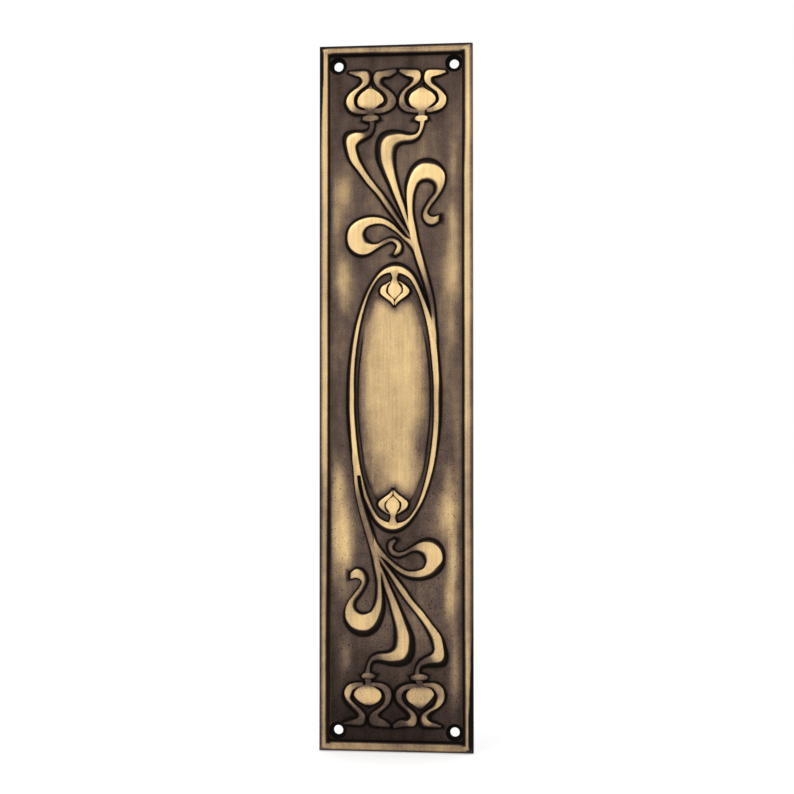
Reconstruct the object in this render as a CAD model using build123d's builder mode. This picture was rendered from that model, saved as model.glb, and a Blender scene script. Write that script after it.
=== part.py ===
"""A cast brass finger plate for a door, with whiplash stems, leaves and tulips in relief.

The plate stands as it hangs on the door. Z runs up its length, X across it, and its front
faces minus Y. The origin is the middle of its back plane, midway between the four screws.
Plan points are (x, z) in millimetres on a plate of the drawn size, and they stretch with the
plate. Heights are measured forward from the back plane, and those of the relief from the field.
"""
import os
from math import hypot

from build123d import *

# Plate
plate_length = 300.0
plate_width = 65.5
field_height = 2.6
edge_height = 3.3

# Rim, a rounded ridge with mitred corners
rim_width = 4.8
rim_crest_height = 4.8
rim_crown = 0.3
rim_outer_bank = 1.4
rim_inner_bank = 1.1

# Screw holes
screw_inset_from_side = 7.9
screw_inset_from_end = 8.4
screw_hole_radius = 2.0
countersink_radius = 3.5
countersink_angle = 90.0
screw_spacing_across = plate_width - 2 * screw_inset_from_side
screw_spacing_along = plate_length - 2 * screw_inset_from_end

# Hollow of the back, with a land round the edge and a boss behind each screw
back_land_width = 5.0
back_hollow_depth = 1.0
screw_boss_wall = 2.5
screw_boss_radius = countersink_radius + screw_boss_wall

# Relief, cast with the plate: a strip is lower where it is narrower, and so are its banks
relief_height = 1.75
bulb_height = 1.95
least_height = 0.55
height_share = 0.4
least_bank = 0.12
bank_share = 0.23
widest_bank = 1.9
crown_share = 0.075
steps_between_rungs = 2
steps_between_close_rungs = 1
root_depth = 0.6
root_kink = 0.12

# The size of plate that the plan points of the relief are drawn for
drawn_length = 300.0
drawn_width = 65.5
stretch_across = plate_width / drawn_width
stretch_along = plate_length / drawn_length

# The lower end is the upper one turned half round: a little off the middle of the plate
flower_centre = (-0.4 * stretch_across, -0.2 * stretch_along)
oval_centre = (-0.8 * stretch_across, -0.4 * stretch_along)

# Oval ring and the domed panel in it, with a channel between them
ring_height = 1.5
ring_outer_bank = 0.28
ring_inner_bank = 0.12
channel_at_sides = 1.4
channel_at_ends = 5.7
panel_step = 0.35
panel_rise = 1.3


def crowned_section(rung, tallest):
    """Draw the section of a stem from one foot to the other: two banks and a crowned top."""
    left_x, right_x = rung[0] * stretch_across, rung[2] * stretch_across
    left_z, right_z = rung[1] * stretch_along, rung[3] * stretch_along
    width = hypot(right_x - left_x, right_z - left_z)
    along_x = (right_x - left_x) / width
    along_z = (right_z - left_z) / width
    height = min(tallest, least_height + height_share * width)
    bank = min(widest_bank, least_bank + bank_share * width)
    shoulder = height - crown_share * (width - 2 * bank)
    spread = bank * root_kink / shoulder
    left_root = (-spread, -root_depth)
    left_foot = (-spread, -root_kink)
    left_shoulder = (bank, shoulder)
    crest = (width / 2, height)
    right_shoulder = (width - bank, shoulder)
    right_foot = (width + spread, -root_kink)
    right_root = (width + spread, -root_depth)
    station = Plane(
        origin=(left_x, -field_height, left_z),
        x_dir=(along_x, 0, along_z),
        z_dir=(along_z, 0, -along_x),
    )
    with BuildSketch(station) as section:
        with BuildLine():
            Polyline(left_root, left_foot, left_shoulder)
            ThreePointArc(left_shoulder, crest, right_shoulder)
            Polyline(right_shoulder, right_foot, right_root, left_root)
        make_face()
    return section.sketch


def smoothed(rungs, steps):
    """Add rungs between the chosen ones, on the smooth curve through them."""
    before = [rungs[0]] + rungs[:-2]
    after = rungs[2:] + [rungs[-1]]
    fine = []
    for a, b, c, d in zip(before, rungs[:-1], rungs[1:], after):
        for step in range(steps):
            t = step / steps
            fine.append(tuple(
                q + 0.5 * t * (r - p + t * (2 * p - 5 * q + 4 * r - s + t * (3 * (q - r) + s - p)))
                for p, q, r, s in zip(a, b, c, d)
            ))
    return fine + [rungs[-1]]


def relief_ribbon(rungs, tallest=relief_height, steps=steps_between_rungs):
    """Loft a crowned strip through its rungs, each the two feet of a section on the field."""
    sections = [crowned_section(rung, tallest) for rung in smoothed(rungs, steps)]
    with BuildPart() as ribbon:
        loft(sections, ruled=True)
    return ribbon.part


# The trunk leaves the oval, climbs and turns over into the hooked leaf and its curled tail
hook_rungs = [
    (16.2, 19.2, 18.3, 19.2),
    (15.3, 25.2, 18.0, 25.2),
    (15.0, 30.2, 17.5, 30.2),
    (14.7, 36.2, 17.1, 35.8),
    (13.0, 42.8, 16.2, 42.3),
    (10.8, 50.3, 14.3, 50.3),
    (8.2, 58.3, 12.0, 58.3),
    (6.5, 65.4, 10.1, 65.4),
    (5.5, 71.4, 9.0, 71.4),
    (4.8, 78.4, 7.8, 78.4),
    (4.1, 85.5, 8.1, 85.5),
    (4.2, 91.0, 9.6, 89.7),
    (6.2, 96.9, 11.0, 91.0),
    (10.0, 100.4, 12.5, 91.4),
    (14.5, 101.0, 13.9, 91.3),
    (18.6, 99.0, 15.3, 90.6),
    (21.1, 95.3, 16.3, 89.4),
    (21.4, 91.2, 16.5, 87.8),
    (19.9, 87.1, 15.8, 86.0),
    (17.2, 83.3, 14.5, 84.4),
    (15.0, 80.5, 12.8, 81.7),
    (13.9, 78.3, 11.3, 78.6),
    (14.5, 77.2, 11.3, 75.6),
    (15.6, 76.7, 13.2, 72.9),
    (16.9, 76.7, 16.1, 72.3),
    (19.0, 77.3, 18.9, 74.0),
]

# The leaf that curls back on itself to the left
curl_rungs = [
    (10.6, 57.3, 9.2, 56.3),
    (9.2, 62.6, 7.6, 60.5),
    (7.6, 66.2, 6.1, 63.0),
    (4.6, 68.4, 3.2, 66.7),
    (2.1, 70.7, 0.6, 69.3),
    (-1.0, 73.8, -2.3, 71.4),
    (-4.8, 76.2, -5.2, 73.0),
    (-9.0, 77.2, -8.0, 73.3),
    (-13.3, 76.9, -10.7, 72.8),
    (-17.5, 75.2, -12.4, 72.0),
    (-20.5, 72.2, -13.1, 70.7),
    (-21.5, 68.2, -13.3, 69.3),
    (-20.9, 63.8, -12.8, 67.9),
    (-18.5, 60.8, -11.9, 66.7),
    (-15.2, 59.5, -10.6, 65.7),
    (-11.7, 60.2, -9.1, 65.3),
    (-8.3, 62.3, -7.2, 65.7),
    (-4.5, 64.6, -4.5, 67.2),
    (-2.0, 65.4, -1.6, 68.0),
    (-0.5, 64.6, 1.5, 66.7),
    (-0.0, 63.4, 3.0, 64.0),
    (-0.6, 61.9, 2.6, 61.1),
    (-1.5, 60.7, -0.4, 59.2),
]

# The stem of the left tulip, with the knee below its neck
left_stem_rungs = [
    (8.8, 60.8, 10.2, 61.8),
    (6.5, 65.4, 8.2, 66.8),
    (3.1, 70.0, 5.2, 71.2),
    (-0.6, 74.9, 1.8, 76.1),
    (-4.5, 80.0, -1.6, 81.6),
    (-8.2, 85.5, -5.3, 86.7),
    (-12.5, 90.5, -9.2, 91.4),
    (-16.3, 95.5, -12.5, 96.2),
    (-20.1, 100.5, -15.1, 101.2),
    (-22.0, 105.5, -16.4, 105.1),
    (-22.7, 109.9, -16.6, 106.8),
    (-21.5, 112.9, -15.8, 107.9),
    (-17.9, 113.7, -14.3, 108.8),
    (-14.5, 113.7, -12.3, 109.9),
    (-12.3, 114.2, -10.4, 111.3),
    (-11.4, 115.7, -9.1, 113.9),
    (-11.5, 117.8, -8.7, 117.6),
]

# The stem of the right tulip
right_stem_rungs = [
    (7.2, 65.9, 8.6, 66.4),
    (5.2, 70.4, 7.0, 71.4),
    (3.3, 75.4, 5.6, 76.2),
    (1.1, 80.2, 4.3, 81.0),
    (-1.4, 85.5, 2.5, 86.2),
    (-3.6, 90.5, 1.2, 91.1),
    (-6.0, 95.5, 0.1, 96.1),
    (-8.1, 100.5, -0.2, 100.7),
    (-8.6, 104.7, -0.0, 104.1),
    (-8.3, 108.6, 0.7, 106.0),
    (-6.6, 111.8, 1.9, 107.1),
    (-3.4, 113.4, 3.4, 107.6),
    (0.6, 113.5, 5.2, 107.7),
    (4.8, 112.5, 7.4, 108.1),
    (8.0, 112.2, 9.8, 109.6),
    (9.5, 113.6, 11.2, 111.9),
    (10.0, 115.8, 12.2, 115.0),
    (10.0, 117.9, 12.8, 117.8),
]

# Petals: each starts under its bulb, swings out round it and flicks out at the tip
left_tulip_outer_petal = [
    (-11.4, 120.4, -11.4, 122.5),
    (-14.5, 120.1, -13.9, 122.5),
    (-17.7, 120.2, -15.9, 123.2),
    (-20.5, 121.8, -17.1, 124.4),
    (-22.1, 125.0, -17.5, 126.2),
    (-21.6, 128.1, -17.1, 128.2),
    (-19.7, 130.7, -15.8, 129.9),
    (-16.8, 132.9, -14.1, 131.3),
    (-15.4, 134.7, -11.6, 133.3),
    (-15.7, 136.0, -10.1, 135.9),
    (-16.6, 136.6, -11.3, 139.0),
    (-17.9, 137.0, -14.9, 139.7),
    (-20.6, 138.2, -20.3, 139.2),
]
left_tulip_inner_petal = [
    (-10.3, 120.8, -10.3, 122.8),
    (-6.8, 120.4, -7.1, 123.2),
    (-3.4, 121.2, -5.0, 124.0),
    (-0.7, 123.0, -4.0, 125.2),
    (0.4, 125.6, -3.7, 126.7),
    (-0.2, 128.4, -4.4, 128.4),
    (-2.0, 130.7, -5.8, 130.0),
    (-4.2, 132.7, -7.7, 131.6),
    (-5.5, 134.1, -9.3, 133.5),
    (-5.3, 135.2, -10.0, 135.9),
    (-4.1, 135.7, -8.8, 138.6),
    (-2.4, 136.0, -5.4, 139.2),
    (0.9, 138.2, 0.5, 139.9),
]
right_tulip_inner_petal = [
    (10.7, 120.4, 10.7, 122.4),
    (7.2, 120.4, 8.2, 122.6),
    (3.8, 121.1, 5.9, 123.5),
    (1.4, 123.0, 4.6, 124.9),
    (0.6, 125.5, 4.2, 126.6),
    (1.0, 128.3, 4.5, 128.4),
    (2.5, 130.7, 5.8, 130.3),
    (4.6, 132.6, 7.6, 131.7),
    (6.0, 134.2, 9.8, 133.5),
    (5.6, 135.3, 11.2, 135.9),
    (4.4, 136.0, 10.5, 138.8),
    (3.1, 136.7, 6.6, 139.7),
    (1.1, 138.3, 1.4, 139.8),
]
right_tulip_outer_petal = [
    (12.9, 120.4, 12.9, 122.5),
    (16.3, 120.5, 15.3, 123.3),
    (19.5, 121.6, 17.1, 124.4),
    (21.5, 124.0, 17.9, 125.8),
    (22.0, 126.8, 17.9, 127.5),
    (20.9, 129.6, 17.1, 129.1),
    (18.9, 131.7, 15.5, 130.5),
    (17.0, 133.3, 13.7, 132.1),
    (16.0, 134.7, 12.0, 134.3),
    (16.4, 135.4, 11.8, 137.1),
    (17.5, 135.7, 13.1, 139.0),
    (19.1, 136.1, 16.9, 139.3),
    (22.2, 137.5, 21.7, 138.7),
]

# Bulbs, from the short neck under each to its point
left_bulb_rungs = [
    (-12.5, 119.2, -8.9, 119.2),
    (-12.6, 121.2, -8.7, 121.2),
    (-13.4, 122.6, -8.2, 122.6),
    (-16.0, 123.9, -6.9, 123.9),
    (-17.0, 125.9, -4.9, 125.7),
    (-16.5, 127.8, -5.0, 127.6),
    (-14.8, 129.7, -6.5, 129.5),
    (-12.1, 131.4, -9.6, 131.4),
    (-11.3, 132.6, -10.1, 132.6),
    (-11.0, 133.7, -10.3, 133.7),
]
right_bulb_rungs = [
    (9.6, 119.0, 12.9, 119.0),
    (9.3, 121.0, 12.8, 121.0),
    (8.7, 122.1, 13.6, 122.1),
    (6.2, 123.6, 15.6, 123.5),
    (4.9, 125.6, 17.2, 125.4),
    (5.2, 127.4, 17.5, 127.1),
    (6.6, 129.2, 16.2, 129.0),
    (9.5, 130.9, 12.9, 130.9),
    (10.9, 132.0, 12.0, 132.0),
    (11.4, 133.3, 12.1, 133.3),
]

# The lower bulbs are blunter: drawn here as at the upper end, then turned like the rest
lower_right_bulb_rungs = [
    (-12.5, 119.2, -8.9, 119.2),
    (-12.6, 120.9, -9.5, 120.9),
    (-13.6, 121.8, -8.0, 121.8),
    (-15.8, 122.7, -6.0, 122.8),
    (-17.0, 124.1, -5.1, 124.2),
    (-17.3, 125.3, -5.0, 125.5),
    (-16.3, 126.9, -5.2, 127.0),
    (-14.9, 128.5, -6.2, 128.5),
    (-12.7, 130.6, -9.4, 130.6),
    (-11.7, 131.8, -10.9, 131.8),
]
lower_left_bulb_rungs = [
    (9.6, 119.0, 12.9, 119.0),
    (9.3, 120.9, 12.2, 120.9),
    (8.9, 121.8, 14.1, 121.8),
    (6.6, 123.0, 16.1, 123.0),
    (5.4, 124.4, 17.2, 124.3),
    (5.0, 125.7, 17.6, 125.6),
    (5.2, 127.0, 17.1, 126.8),
    (6.2, 128.7, 15.6, 128.6),
    (8.0, 129.9, 13.5, 129.9),
    (9.9, 130.6, 11.6, 130.6),
]

# Collars, the small cushions between neck and bulb
left_collar_rungs = [
    (-14.7, 117.6, -14.7, 119.2),
    (-13.1, 116.7, -13.1, 119.9),
    (-10.7, 116.4, -10.7, 120.2),
    (-8.3, 116.9, -8.3, 120.0),
    (-6.7, 117.8, -6.7, 119.2),
]
right_collar_rungs = [
    (7.8, 117.3, 7.8, 118.8),
    (9.2, 116.5, 9.2, 119.6),
    (11.2, 116.1, 11.2, 119.9),
    (13.1, 116.7, 13.1, 119.6),
    (14.3, 117.7, 14.3, 118.8),
]

# The bud inside the upper end of the oval, hanging from the ring by a short stalk
bud_heart_rungs = [
    (-3.2, 53.2, 2.4, 53.2),
    (-1.9, 51.4, 1.2, 51.4),
    (-1.8, 49.9, 1.0, 49.9),
    (-2.5, 48.6, 1.5, 48.6),
    (-3.1, 47.5, 2.1, 47.5),
    (-3.8, 46.4, 3.0, 46.4),
    (-4.0, 45.3, 3.3, 45.3),
    (-3.9, 44.2, 3.0, 44.2),
    (-2.9, 43.0, 2.0, 43.0),
    (-1.6, 41.9, 0.5, 41.9),
    (-0.9, 40.9, 0.0, 40.9),
]
bud_left_petal_rungs = [
    (-1.6, 49.6, -1.6, 48.4),
    (-4.1, 48.4, -3.0, 47.4),
    (-6.5, 46.9, -3.6, 46.2),
    (-7.3, 45.0, -3.8, 45.1),
    (-6.8, 43.5, -3.6, 44.0),
    (-4.8, 41.9, -2.2, 42.7),
    (-3.1, 40.7, -1.1, 41.7),
    (-1.6, 39.3, -0.6, 40.9),
    (-0.9, 38.2, -0.3, 38.9),
]
bud_right_petal_rungs = [
    (0.9, 49.6, 0.9, 48.5),
    (3.4, 48.4, 2.2, 47.5),
    (5.5, 46.8, 2.8, 46.3),
    (6.6, 45.0, 2.9, 45.1),
    (6.1, 43.5, 2.6, 44.0),
    (4.2, 42.0, 1.3, 42.8),
    (2.4, 40.9, 0.2, 41.7),
    (0.7, 39.5, -0.3, 40.9),
    (-0.2, 38.2, -0.6, 38.9),
]

# Feet of the oval ring over its upper half, from the right round to the left, about its centre
ring_outer_foot = [
    (20.2, 0.0),
    (19.9, 10.0),
    (17.9, 27.1),
    (14.3, 40.2),
    (9.5, 51.4),
    (4.8, 56.1),
    (0.0, 57.3),
    (-5.0, 55.2),
    (-9.4, 49.8),
    (-13.5, 41.5),
    (-17.3, 28.6),
    (-19.6, 13.6),
]
ring_inner_foot = [
    (16.8, 0.0),
    (16.5, 10.0),
    (14.7, 27.1),
    (11.6, 40.0),
    (7.9, 48.6),
    (4.6, 51.8),
    (0.0, 52.9),
    (-4.6, 52.0),
    (-8.2, 48.2),
    (-11.6, 40.8),
    (-14.7, 28.6),
    (-16.6, 13.6),
]


def half_turn(part, centre):
    """Turn a copy half round the plate's normal through the given plan point."""
    axis = Axis((centre[0], 0, centre[1]), (0, -1, 0))
    return part.rotate(axis, 180)


def oval_outline(share, height):
    """Draw the closed outline that lies the given share of the way from outer to inner foot."""
    upper = [
        ((ox + share * (ix - ox)) * stretch_across, (oz + share * (iz - oz)) * stretch_along)
        for (ox, oz), (ix, iz) in zip(ring_outer_foot, ring_inner_foot)
    ]
    lower = [(-x, -z) for x, z in upper]
    level = Plane(
        origin=(oval_centre[0], -height, oval_centre[1]),
        x_dir=(1, 0, 0),
        z_dir=(0, -1, 0),
    )
    with BuildSketch(level) as outline:
        with BuildLine():
            Spline(upper + lower, periodic=True)
        make_face()
    return outline.sketch


# The oval ring: a bank up from the outer foot, a narrow land, a bank down to the inner foot
with BuildPart() as ring:
    loft(
        [oval_outline(0, field_height - root_depth), oval_outline(0, field_height - root_kink),
         oval_outline(ring_outer_bank, field_height + ring_height)],
        ruled=True,
    )
    loft(
        [oval_outline(1, field_height - 2 * root_depth), oval_outline(1, field_height),
         oval_outline(1 - ring_inner_bank, field_height + ring_height + root_kink)],
        ruled=True,
        mode=Mode.SUBTRACT,
    )

# The panel in the oval: a barrel face trimmed to an ellipse, with a small step round it
panel_half_width = max(x for x, z in ring_inner_foot) * stretch_across - channel_at_sides
panel_half_length = max(z for x, z in ring_inner_foot) * stretch_along - channel_at_ends
barrel_radius = (panel_half_width ** 2 + panel_rise ** 2) / (2 * panel_rise)
panel_top = field_height + panel_step + panel_rise
with BuildPart() as panel:
    with BuildSketch(Plane.YZ.offset(oval_centre[0])) as barrel_side:
        with BuildLine():
            foot_y = -field_height - panel_step
            axis_y = barrel_radius - panel_top
            low = (foot_y, oval_centre[1] - panel_half_length)
            high = (foot_y, oval_centre[1] + panel_half_length)
            ThreePointArc(low, (-panel_top, oval_centre[1]), high)
            Polyline(high, (axis_y, high[1]), (axis_y, low[1]), low)
        make_face()
    revolve(axis=Axis((oval_centre[0], axis_y, 0), (0, 0, 1)))
    with BuildSketch(Plane.XZ.offset(field_height - root_depth)):
        with Locations(oval_centre):
            Ellipse(panel_half_width, panel_half_length)
    extrude(amount=panel_step + panel_rise + root_depth, mode=Mode.INTERSECT)

# Everything that grows on the field at the upper end, and its half turn at the lower end
flowers = [
    relief_ribbon(hook_rungs),
    relief_ribbon(curl_rungs),
    relief_ribbon(left_stem_rungs),
    relief_ribbon(right_stem_rungs),
    relief_ribbon(left_tulip_outer_petal),
    relief_ribbon(left_tulip_inner_petal),
    relief_ribbon(right_tulip_inner_petal),
    relief_ribbon(right_tulip_outer_petal),
    relief_ribbon(left_collar_rungs),
    relief_ribbon(right_collar_rungs),
]
upper_bulbs = [
    relief_ribbon(left_bulb_rungs, bulb_height, steps_between_close_rungs),
    relief_ribbon(right_bulb_rungs, bulb_height, steps_between_close_rungs),
]
lower_bulbs = [
    relief_ribbon(lower_right_bulb_rungs, bulb_height, steps_between_close_rungs),
    relief_ribbon(lower_left_bulb_rungs, bulb_height, steps_between_close_rungs),
]
bud = [
    relief_ribbon(bud_heart_rungs, relief_height, steps_between_close_rungs),
    relief_ribbon(bud_left_petal_rungs, relief_height, steps_between_close_rungs),
    relief_ribbon(bud_right_petal_rungs, relief_height, steps_between_close_rungs),
]
upper_relief = flowers + upper_bulbs + bud
lower_relief = [half_turn(strip, flower_centre) for strip in flowers + lower_bulbs]
lower_relief += [half_turn(strip, oval_centre) for strip in bud]

with BuildPart() as door_plate:
    # The slab
    with BuildSketch(Plane.XZ):
        Rectangle(plate_width, plate_length)
    extrude(amount=field_height)

    # The rim, swept round the edge with mitred corners
    half_width = plate_width / 2
    half_length = plate_length / 2
    with BuildLine(Plane.XZ) as edge:
        Polyline(
            (half_width, 0),
            (half_width, half_length),
            (-half_width, half_length),
            (-half_width, -half_length),
            (half_width, -half_length),
            (half_width, 0),
        )
    across_rim = Plane(origin=(half_width, 0, 0), x_dir=(-1, 0, 0), z_dir=(0, 0, 1))
    with BuildSketch(across_rim) as rim_section:
        with BuildLine():
            outer_shoulder = (rim_outer_bank, rim_crest_height - rim_crown)
            inner_shoulder = (rim_width - rim_inner_bank, rim_crest_height - rim_crown)
            crown = ((rim_outer_bank + rim_width - rim_inner_bank) / 2, rim_crest_height)
            Polyline((0, root_depth), (0, edge_height), outer_shoulder)
            ThreePointArc(outer_shoulder, crown, inner_shoulder)
            Polyline(
                inner_shoulder,
                (rim_width, field_height - root_kink),
                (rim_width, root_depth),
                (0, root_depth),
            )
        make_face()
    sweep(path=edge.line, transition=Transition.RIGHT)

    # The relief
    add([ring.part, panel.part] + upper_relief + lower_relief)

    # The hollow back, with a land round the edge and a boss behind each screw
    with BuildSketch(Plane.XZ):
        Rectangle(plate_width - 2 * back_land_width, plate_length - 2 * back_land_width)
        with GridLocations(screw_spacing_across, screw_spacing_along, 2, 2):
            Circle(screw_boss_radius, mode=Mode.SUBTRACT)
    extrude(amount=back_hollow_depth, mode=Mode.SUBTRACT)

    # Countersunk screw holes
    with Locations(Plane(origin=(0, -field_height, 0), x_dir=(1, 0, 0), z_dir=(0, -1, 0))):
        with GridLocations(screw_spacing_across, screw_spacing_along, 2, 2):
            CounterSinkHole(
                screw_hole_radius,
                countersink_radius,
                counter_sink_angle=countersink_angle,
            )

door_plate.part.label = "door_plate"
os.makedirs("parts", exist_ok=True)
export_step(door_plate.part, "parts/door_plate.step")
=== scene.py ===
# %% [markdown]
# # A cast brass finger plate
#
# A finger plate is screwed to a door at hand height, where people push it. This one is a single
# casting in brass: a flat ground inside a raised rim, and tulips on long whiplash stems in low
# relief. It was stained dark all over and then polished by hand, so the high parts are bright
# and the stain stays in the corners.
#
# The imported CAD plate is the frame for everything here. Its size and place are kept, and a finer
# skin takes its place for the camera.

# %% The frame
import math

import bpy
import numpy as np
from mathutils import Matrix, Vector, kdtree
from mathutils.geometry import delaunay_2d_cdt


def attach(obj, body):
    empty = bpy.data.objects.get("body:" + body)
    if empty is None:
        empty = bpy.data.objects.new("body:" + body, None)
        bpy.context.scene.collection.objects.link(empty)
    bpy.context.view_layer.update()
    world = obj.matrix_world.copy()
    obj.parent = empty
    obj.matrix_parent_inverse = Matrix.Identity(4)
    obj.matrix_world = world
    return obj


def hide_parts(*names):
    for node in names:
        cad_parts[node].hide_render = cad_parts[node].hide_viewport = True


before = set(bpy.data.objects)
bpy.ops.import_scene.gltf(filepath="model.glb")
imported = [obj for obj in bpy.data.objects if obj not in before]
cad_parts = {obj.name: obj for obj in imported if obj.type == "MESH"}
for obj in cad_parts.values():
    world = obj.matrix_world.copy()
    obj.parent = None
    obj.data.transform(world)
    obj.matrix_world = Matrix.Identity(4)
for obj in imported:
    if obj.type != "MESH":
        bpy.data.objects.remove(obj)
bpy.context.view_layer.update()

# %% [markdown]
# ## Sizes
#
# Everything is worked out in millimetres on the face of the plate, x across and z up, and turned
# into metres once, at the end. A height is how far a point stands out from the flat ground.
# These are the sizes of the casting, the same ones that the CAD plate has.

# %% Sizes of the casting
half_width = 32.75
half_length = 150.0
ground = 2.6
relief_height, bulb_height, ring_height = 1.75, 1.95, 1.5
screw_places = [(x, z) for x in (-24.85, 24.85) for z in (-141.6, 141.6)]
hole_radius = 2.0
sink_radius = 3.5
flower_centre = np.array([-0.4, -0.2])
oval_centre = np.array([-0.8, -0.4])
print("ground", ground, "mm above the back,", len(screw_places), "screw holes")

# %% [markdown]
# ## Drawing the relief with rungs
#
# A whiplash stem is a ribbon whose width swells and shrinks while it turns. It could be a curve
# with a bevel, but then both sides would be alike, and here the bank on one side is often twice
# as wide as on the other. So each strip is drawn as a ladder, and a rung is its two feet on the
# ground (x, z, x, z). The upper and the lower end of the plate share the ladder, the lower one
# turned half round. What differs between them is noted at a few rungs: the number of the rung,
# the width of the bank at its first and at its second foot, and how far it is polished, 0 to 9.
# That last number holds painted shade along the strip as well as polish.

# %% A reader for the strips
strips = {}


def table(text):
    """The numbers of a table that is written as text."""
    return np.array([[float(word) for word in line.split()] for line in text.strip().splitlines()])


def strip(name, tallest, rungs, upper="", lower=""):
    """Keep a strip of the given greatest height, for each end of the plate that has notes."""
    feet = table(rungs)
    for end, notes in (("upper", upper), ("lower", lower)):
        if notes:
            at, *noted = table(notes).T
            spread = [np.interp(np.arange(len(feet)), at, values) for values in noted]
            strips[name, end] = (tallest, np.column_stack([feet, *spread]))


print("a rung is read as", table("16.2 19.2 18.3 19.2")[0])

# %% [markdown]
# ### Trunk, hook and curled leaf
#
# The trunk grows out of the oval ring, climbs to the right of it and turns over at the top into
# a hook with a small curled tail. A leaf leaves it on the left and curls back on itself.

# %% Trunk and leaves
strip("trunk and hook", relief_height, """
    17.0 19.2 17.9 19.2
    15.3 25.2 18.0 25.2
    15.0 30.2 17.5 30.2
    14.7 36.2 17.1 35.8
    13.0 42.8 16.2 42.3
    10.8 50.3 14.3 50.3
    8.2 58.3 12.0 58.3
    6.5 65.4 10.1 65.4
    5.5 71.4 9.0 71.4
    4.8 78.4 7.8 78.4
    4.1 85.5 8.1 85.5
    4.2 91.0 9.6 89.7
    6.2 96.9 11.0 91.0
    10.0 100.4 12.5 91.4
    14.5 101.0 13.9 91.3
    18.6 99.0 15.3 90.6
    21.1 95.3 16.3 89.4
    21.4 91.2 16.5 87.8
    19.9 87.1 15.8 86.0
    17.2 83.3 14.5 84.4
    15.0 80.5 12.8 81.7
    13.9 78.3 11.3 78.6
    14.5 77.2 11.3 75.6
    15.6 76.7 13.2 72.9
    16.9 76.7 16.1 72.3
    19.0 77.3 18.9 74.0
""", upper="""
    0 0.3 0.9 8
    2 0.3 0.8 7
    3 0.6 0.7 2
    4 1.0 0.7 1
    5 1.0 0.9 4
    6 0.8 0.6 7
    8 0.3 0.7 9
    10 0.8 0.8 9
    12 2.0 1.3 9
    14 2.4 1.7 9
    16 0.8 1.9 9
    18 0.7 2.0 5
    19 0.4 1.2 4
    21 0.4 1.0 5
    22 0.6 0.8 6
    24 0.7 1.0 6
    25 0.3 0.8 4
""", lower="""
    0 0.3 0.3 9
    3 0.8 0.3 6
    4 1.1 0.3 3
    6 1.0 0.4 3
    8 0.3 1.1 6
    10 1.1 1.2 7
    12 2.5 0.5 8
    14 2.7 0.8 9
    16 1.6 1.1 8
    18 0.3 1.8 7
    20 0.3 1.1 4
    22 0.3 1.5 7
    24 0.3 0.6 9
    25 0.3 1.2 6
""")
strip("curled leaf", relief_height, """
    10.6 57.3 9.2 56.3
    9.2 62.6 7.6 60.5
    7.6 66.2 6.1 63.0
    4.6 68.4 3.2 66.7
    2.1 70.7 0.6 69.3
    -1.0 73.8 -2.3 71.4
    -4.8 76.2 -5.2 73.0
    -9.0 77.2 -8.0 73.3
    -13.3 76.9 -10.7 72.8
    -17.5 75.2 -12.4 72.0
    -20.5 72.2 -13.1 70.7
    -21.5 68.2 -13.3 69.3
    -20.9 63.8 -12.8 67.9
    -18.5 60.8 -11.9 66.7
    -15.2 59.5 -10.6 65.7
    -11.7 60.2 -9.1 65.3
    -8.3 62.3 -7.2 65.7
    -4.5 64.6 -4.5 67.2
    -2.0 65.4 -1.6 68.0
    -0.5 64.6 1.5 66.7
    -0.0 63.4 3.0 64.0
    -0.6 61.9 2.6 61.1
    -1.5 60.7 -0.4 59.2
""", upper="""
    0 0.5 0.6 7
    2 0.5 1.4 6
    3 0.9 0.4 5
    5 0.7 0.4 7
    7 1.1 0.4 9
    9 1.2 0.3 9
    11 1.0 1.2 9
    13 1.4 1.8 9
    14 1.4 1.0 8
    15 1.2 0.8 8
    16 0.9 0.9 6
    17 0.5 0.7 3
    18 0.7 1.0 4
    20 0.8 0.8 8
    21 0.6 1.2 6
    22 0.8 0.8 3
""", lower="""
    0 0.3 0.3 8
    2 0.3 0.4 5
    4 0.6 0.3 4
    6 1.4 0.3 5
    8 1.8 0.3 8
    10 2.5 0.5 9
    11 1.0 0.9 9
    13 1.7 1.7 9
    14 2.0 1.3 8
    15 1.6 1.0 6
    16 1.0 0.9 3
    18 0.3 1.1 3
    20 0.8 1.0 3
    22 0.5 0.8 2
""")
print(len(strips), "strips so far")

# %% [markdown]
# ### Stems
#
# Two stems leave the trunk beside the leaf. Each widens to a knee, bends over it and runs thin
# into the neck of its tulip.

# %% Stems
strip("left stem", relief_height, """
    8.8 60.8 10.2 61.8
    6.5 65.4 8.2 66.8
    3.1 70.0 5.2 71.2
    -0.6 74.9 1.8 76.1
    -4.5 80.0 -1.6 81.6
    -8.2 85.5 -5.3 86.7
    -12.5 90.5 -9.2 91.4
    -16.3 95.5 -12.5 96.2
    -20.1 100.5 -15.1 101.2
    -22.0 105.5 -16.4 105.1
    -22.7 109.9 -16.6 106.8
    -21.5 112.9 -15.8 107.9
    -17.9 113.7 -14.3 108.8
    -14.5 113.7 -12.3 109.9
    -12.3 114.2 -10.4 111.3
    -11.4 115.7 -9.1 113.9
    -11.5 117.8 -8.7 117.6
""", upper="""
    0 0.6 0.6 5
    1 0.6 0.9 3
    2 0.7 1.0 3
    4 0.9 1.1 4
    6 0.7 0.6 7
    8 1.1 1.0 9
    10 2.0 0.8 9
    11 2.3 0.9 9
    12 1.7 1.4 9
    13 1.7 1.1 3
    14 1.2 0.7 1
    16 0.3 0.3 1
""", lower="""
    0 0.6 0.6 6
    1 0.6 0.9 5
    2 0.8 0.9 4
    4 0.6 0.8 6
    6 0.3 0.8 8
    8 0.4 1.5 8
    10 1.8 0.7 9
    11 2.6 0.8 8
    12 2.6 0.7 4
    13 1.8 0.6 2
    14 1.4 0.9 1
    16 0.4 0.3 2
""")
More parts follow.
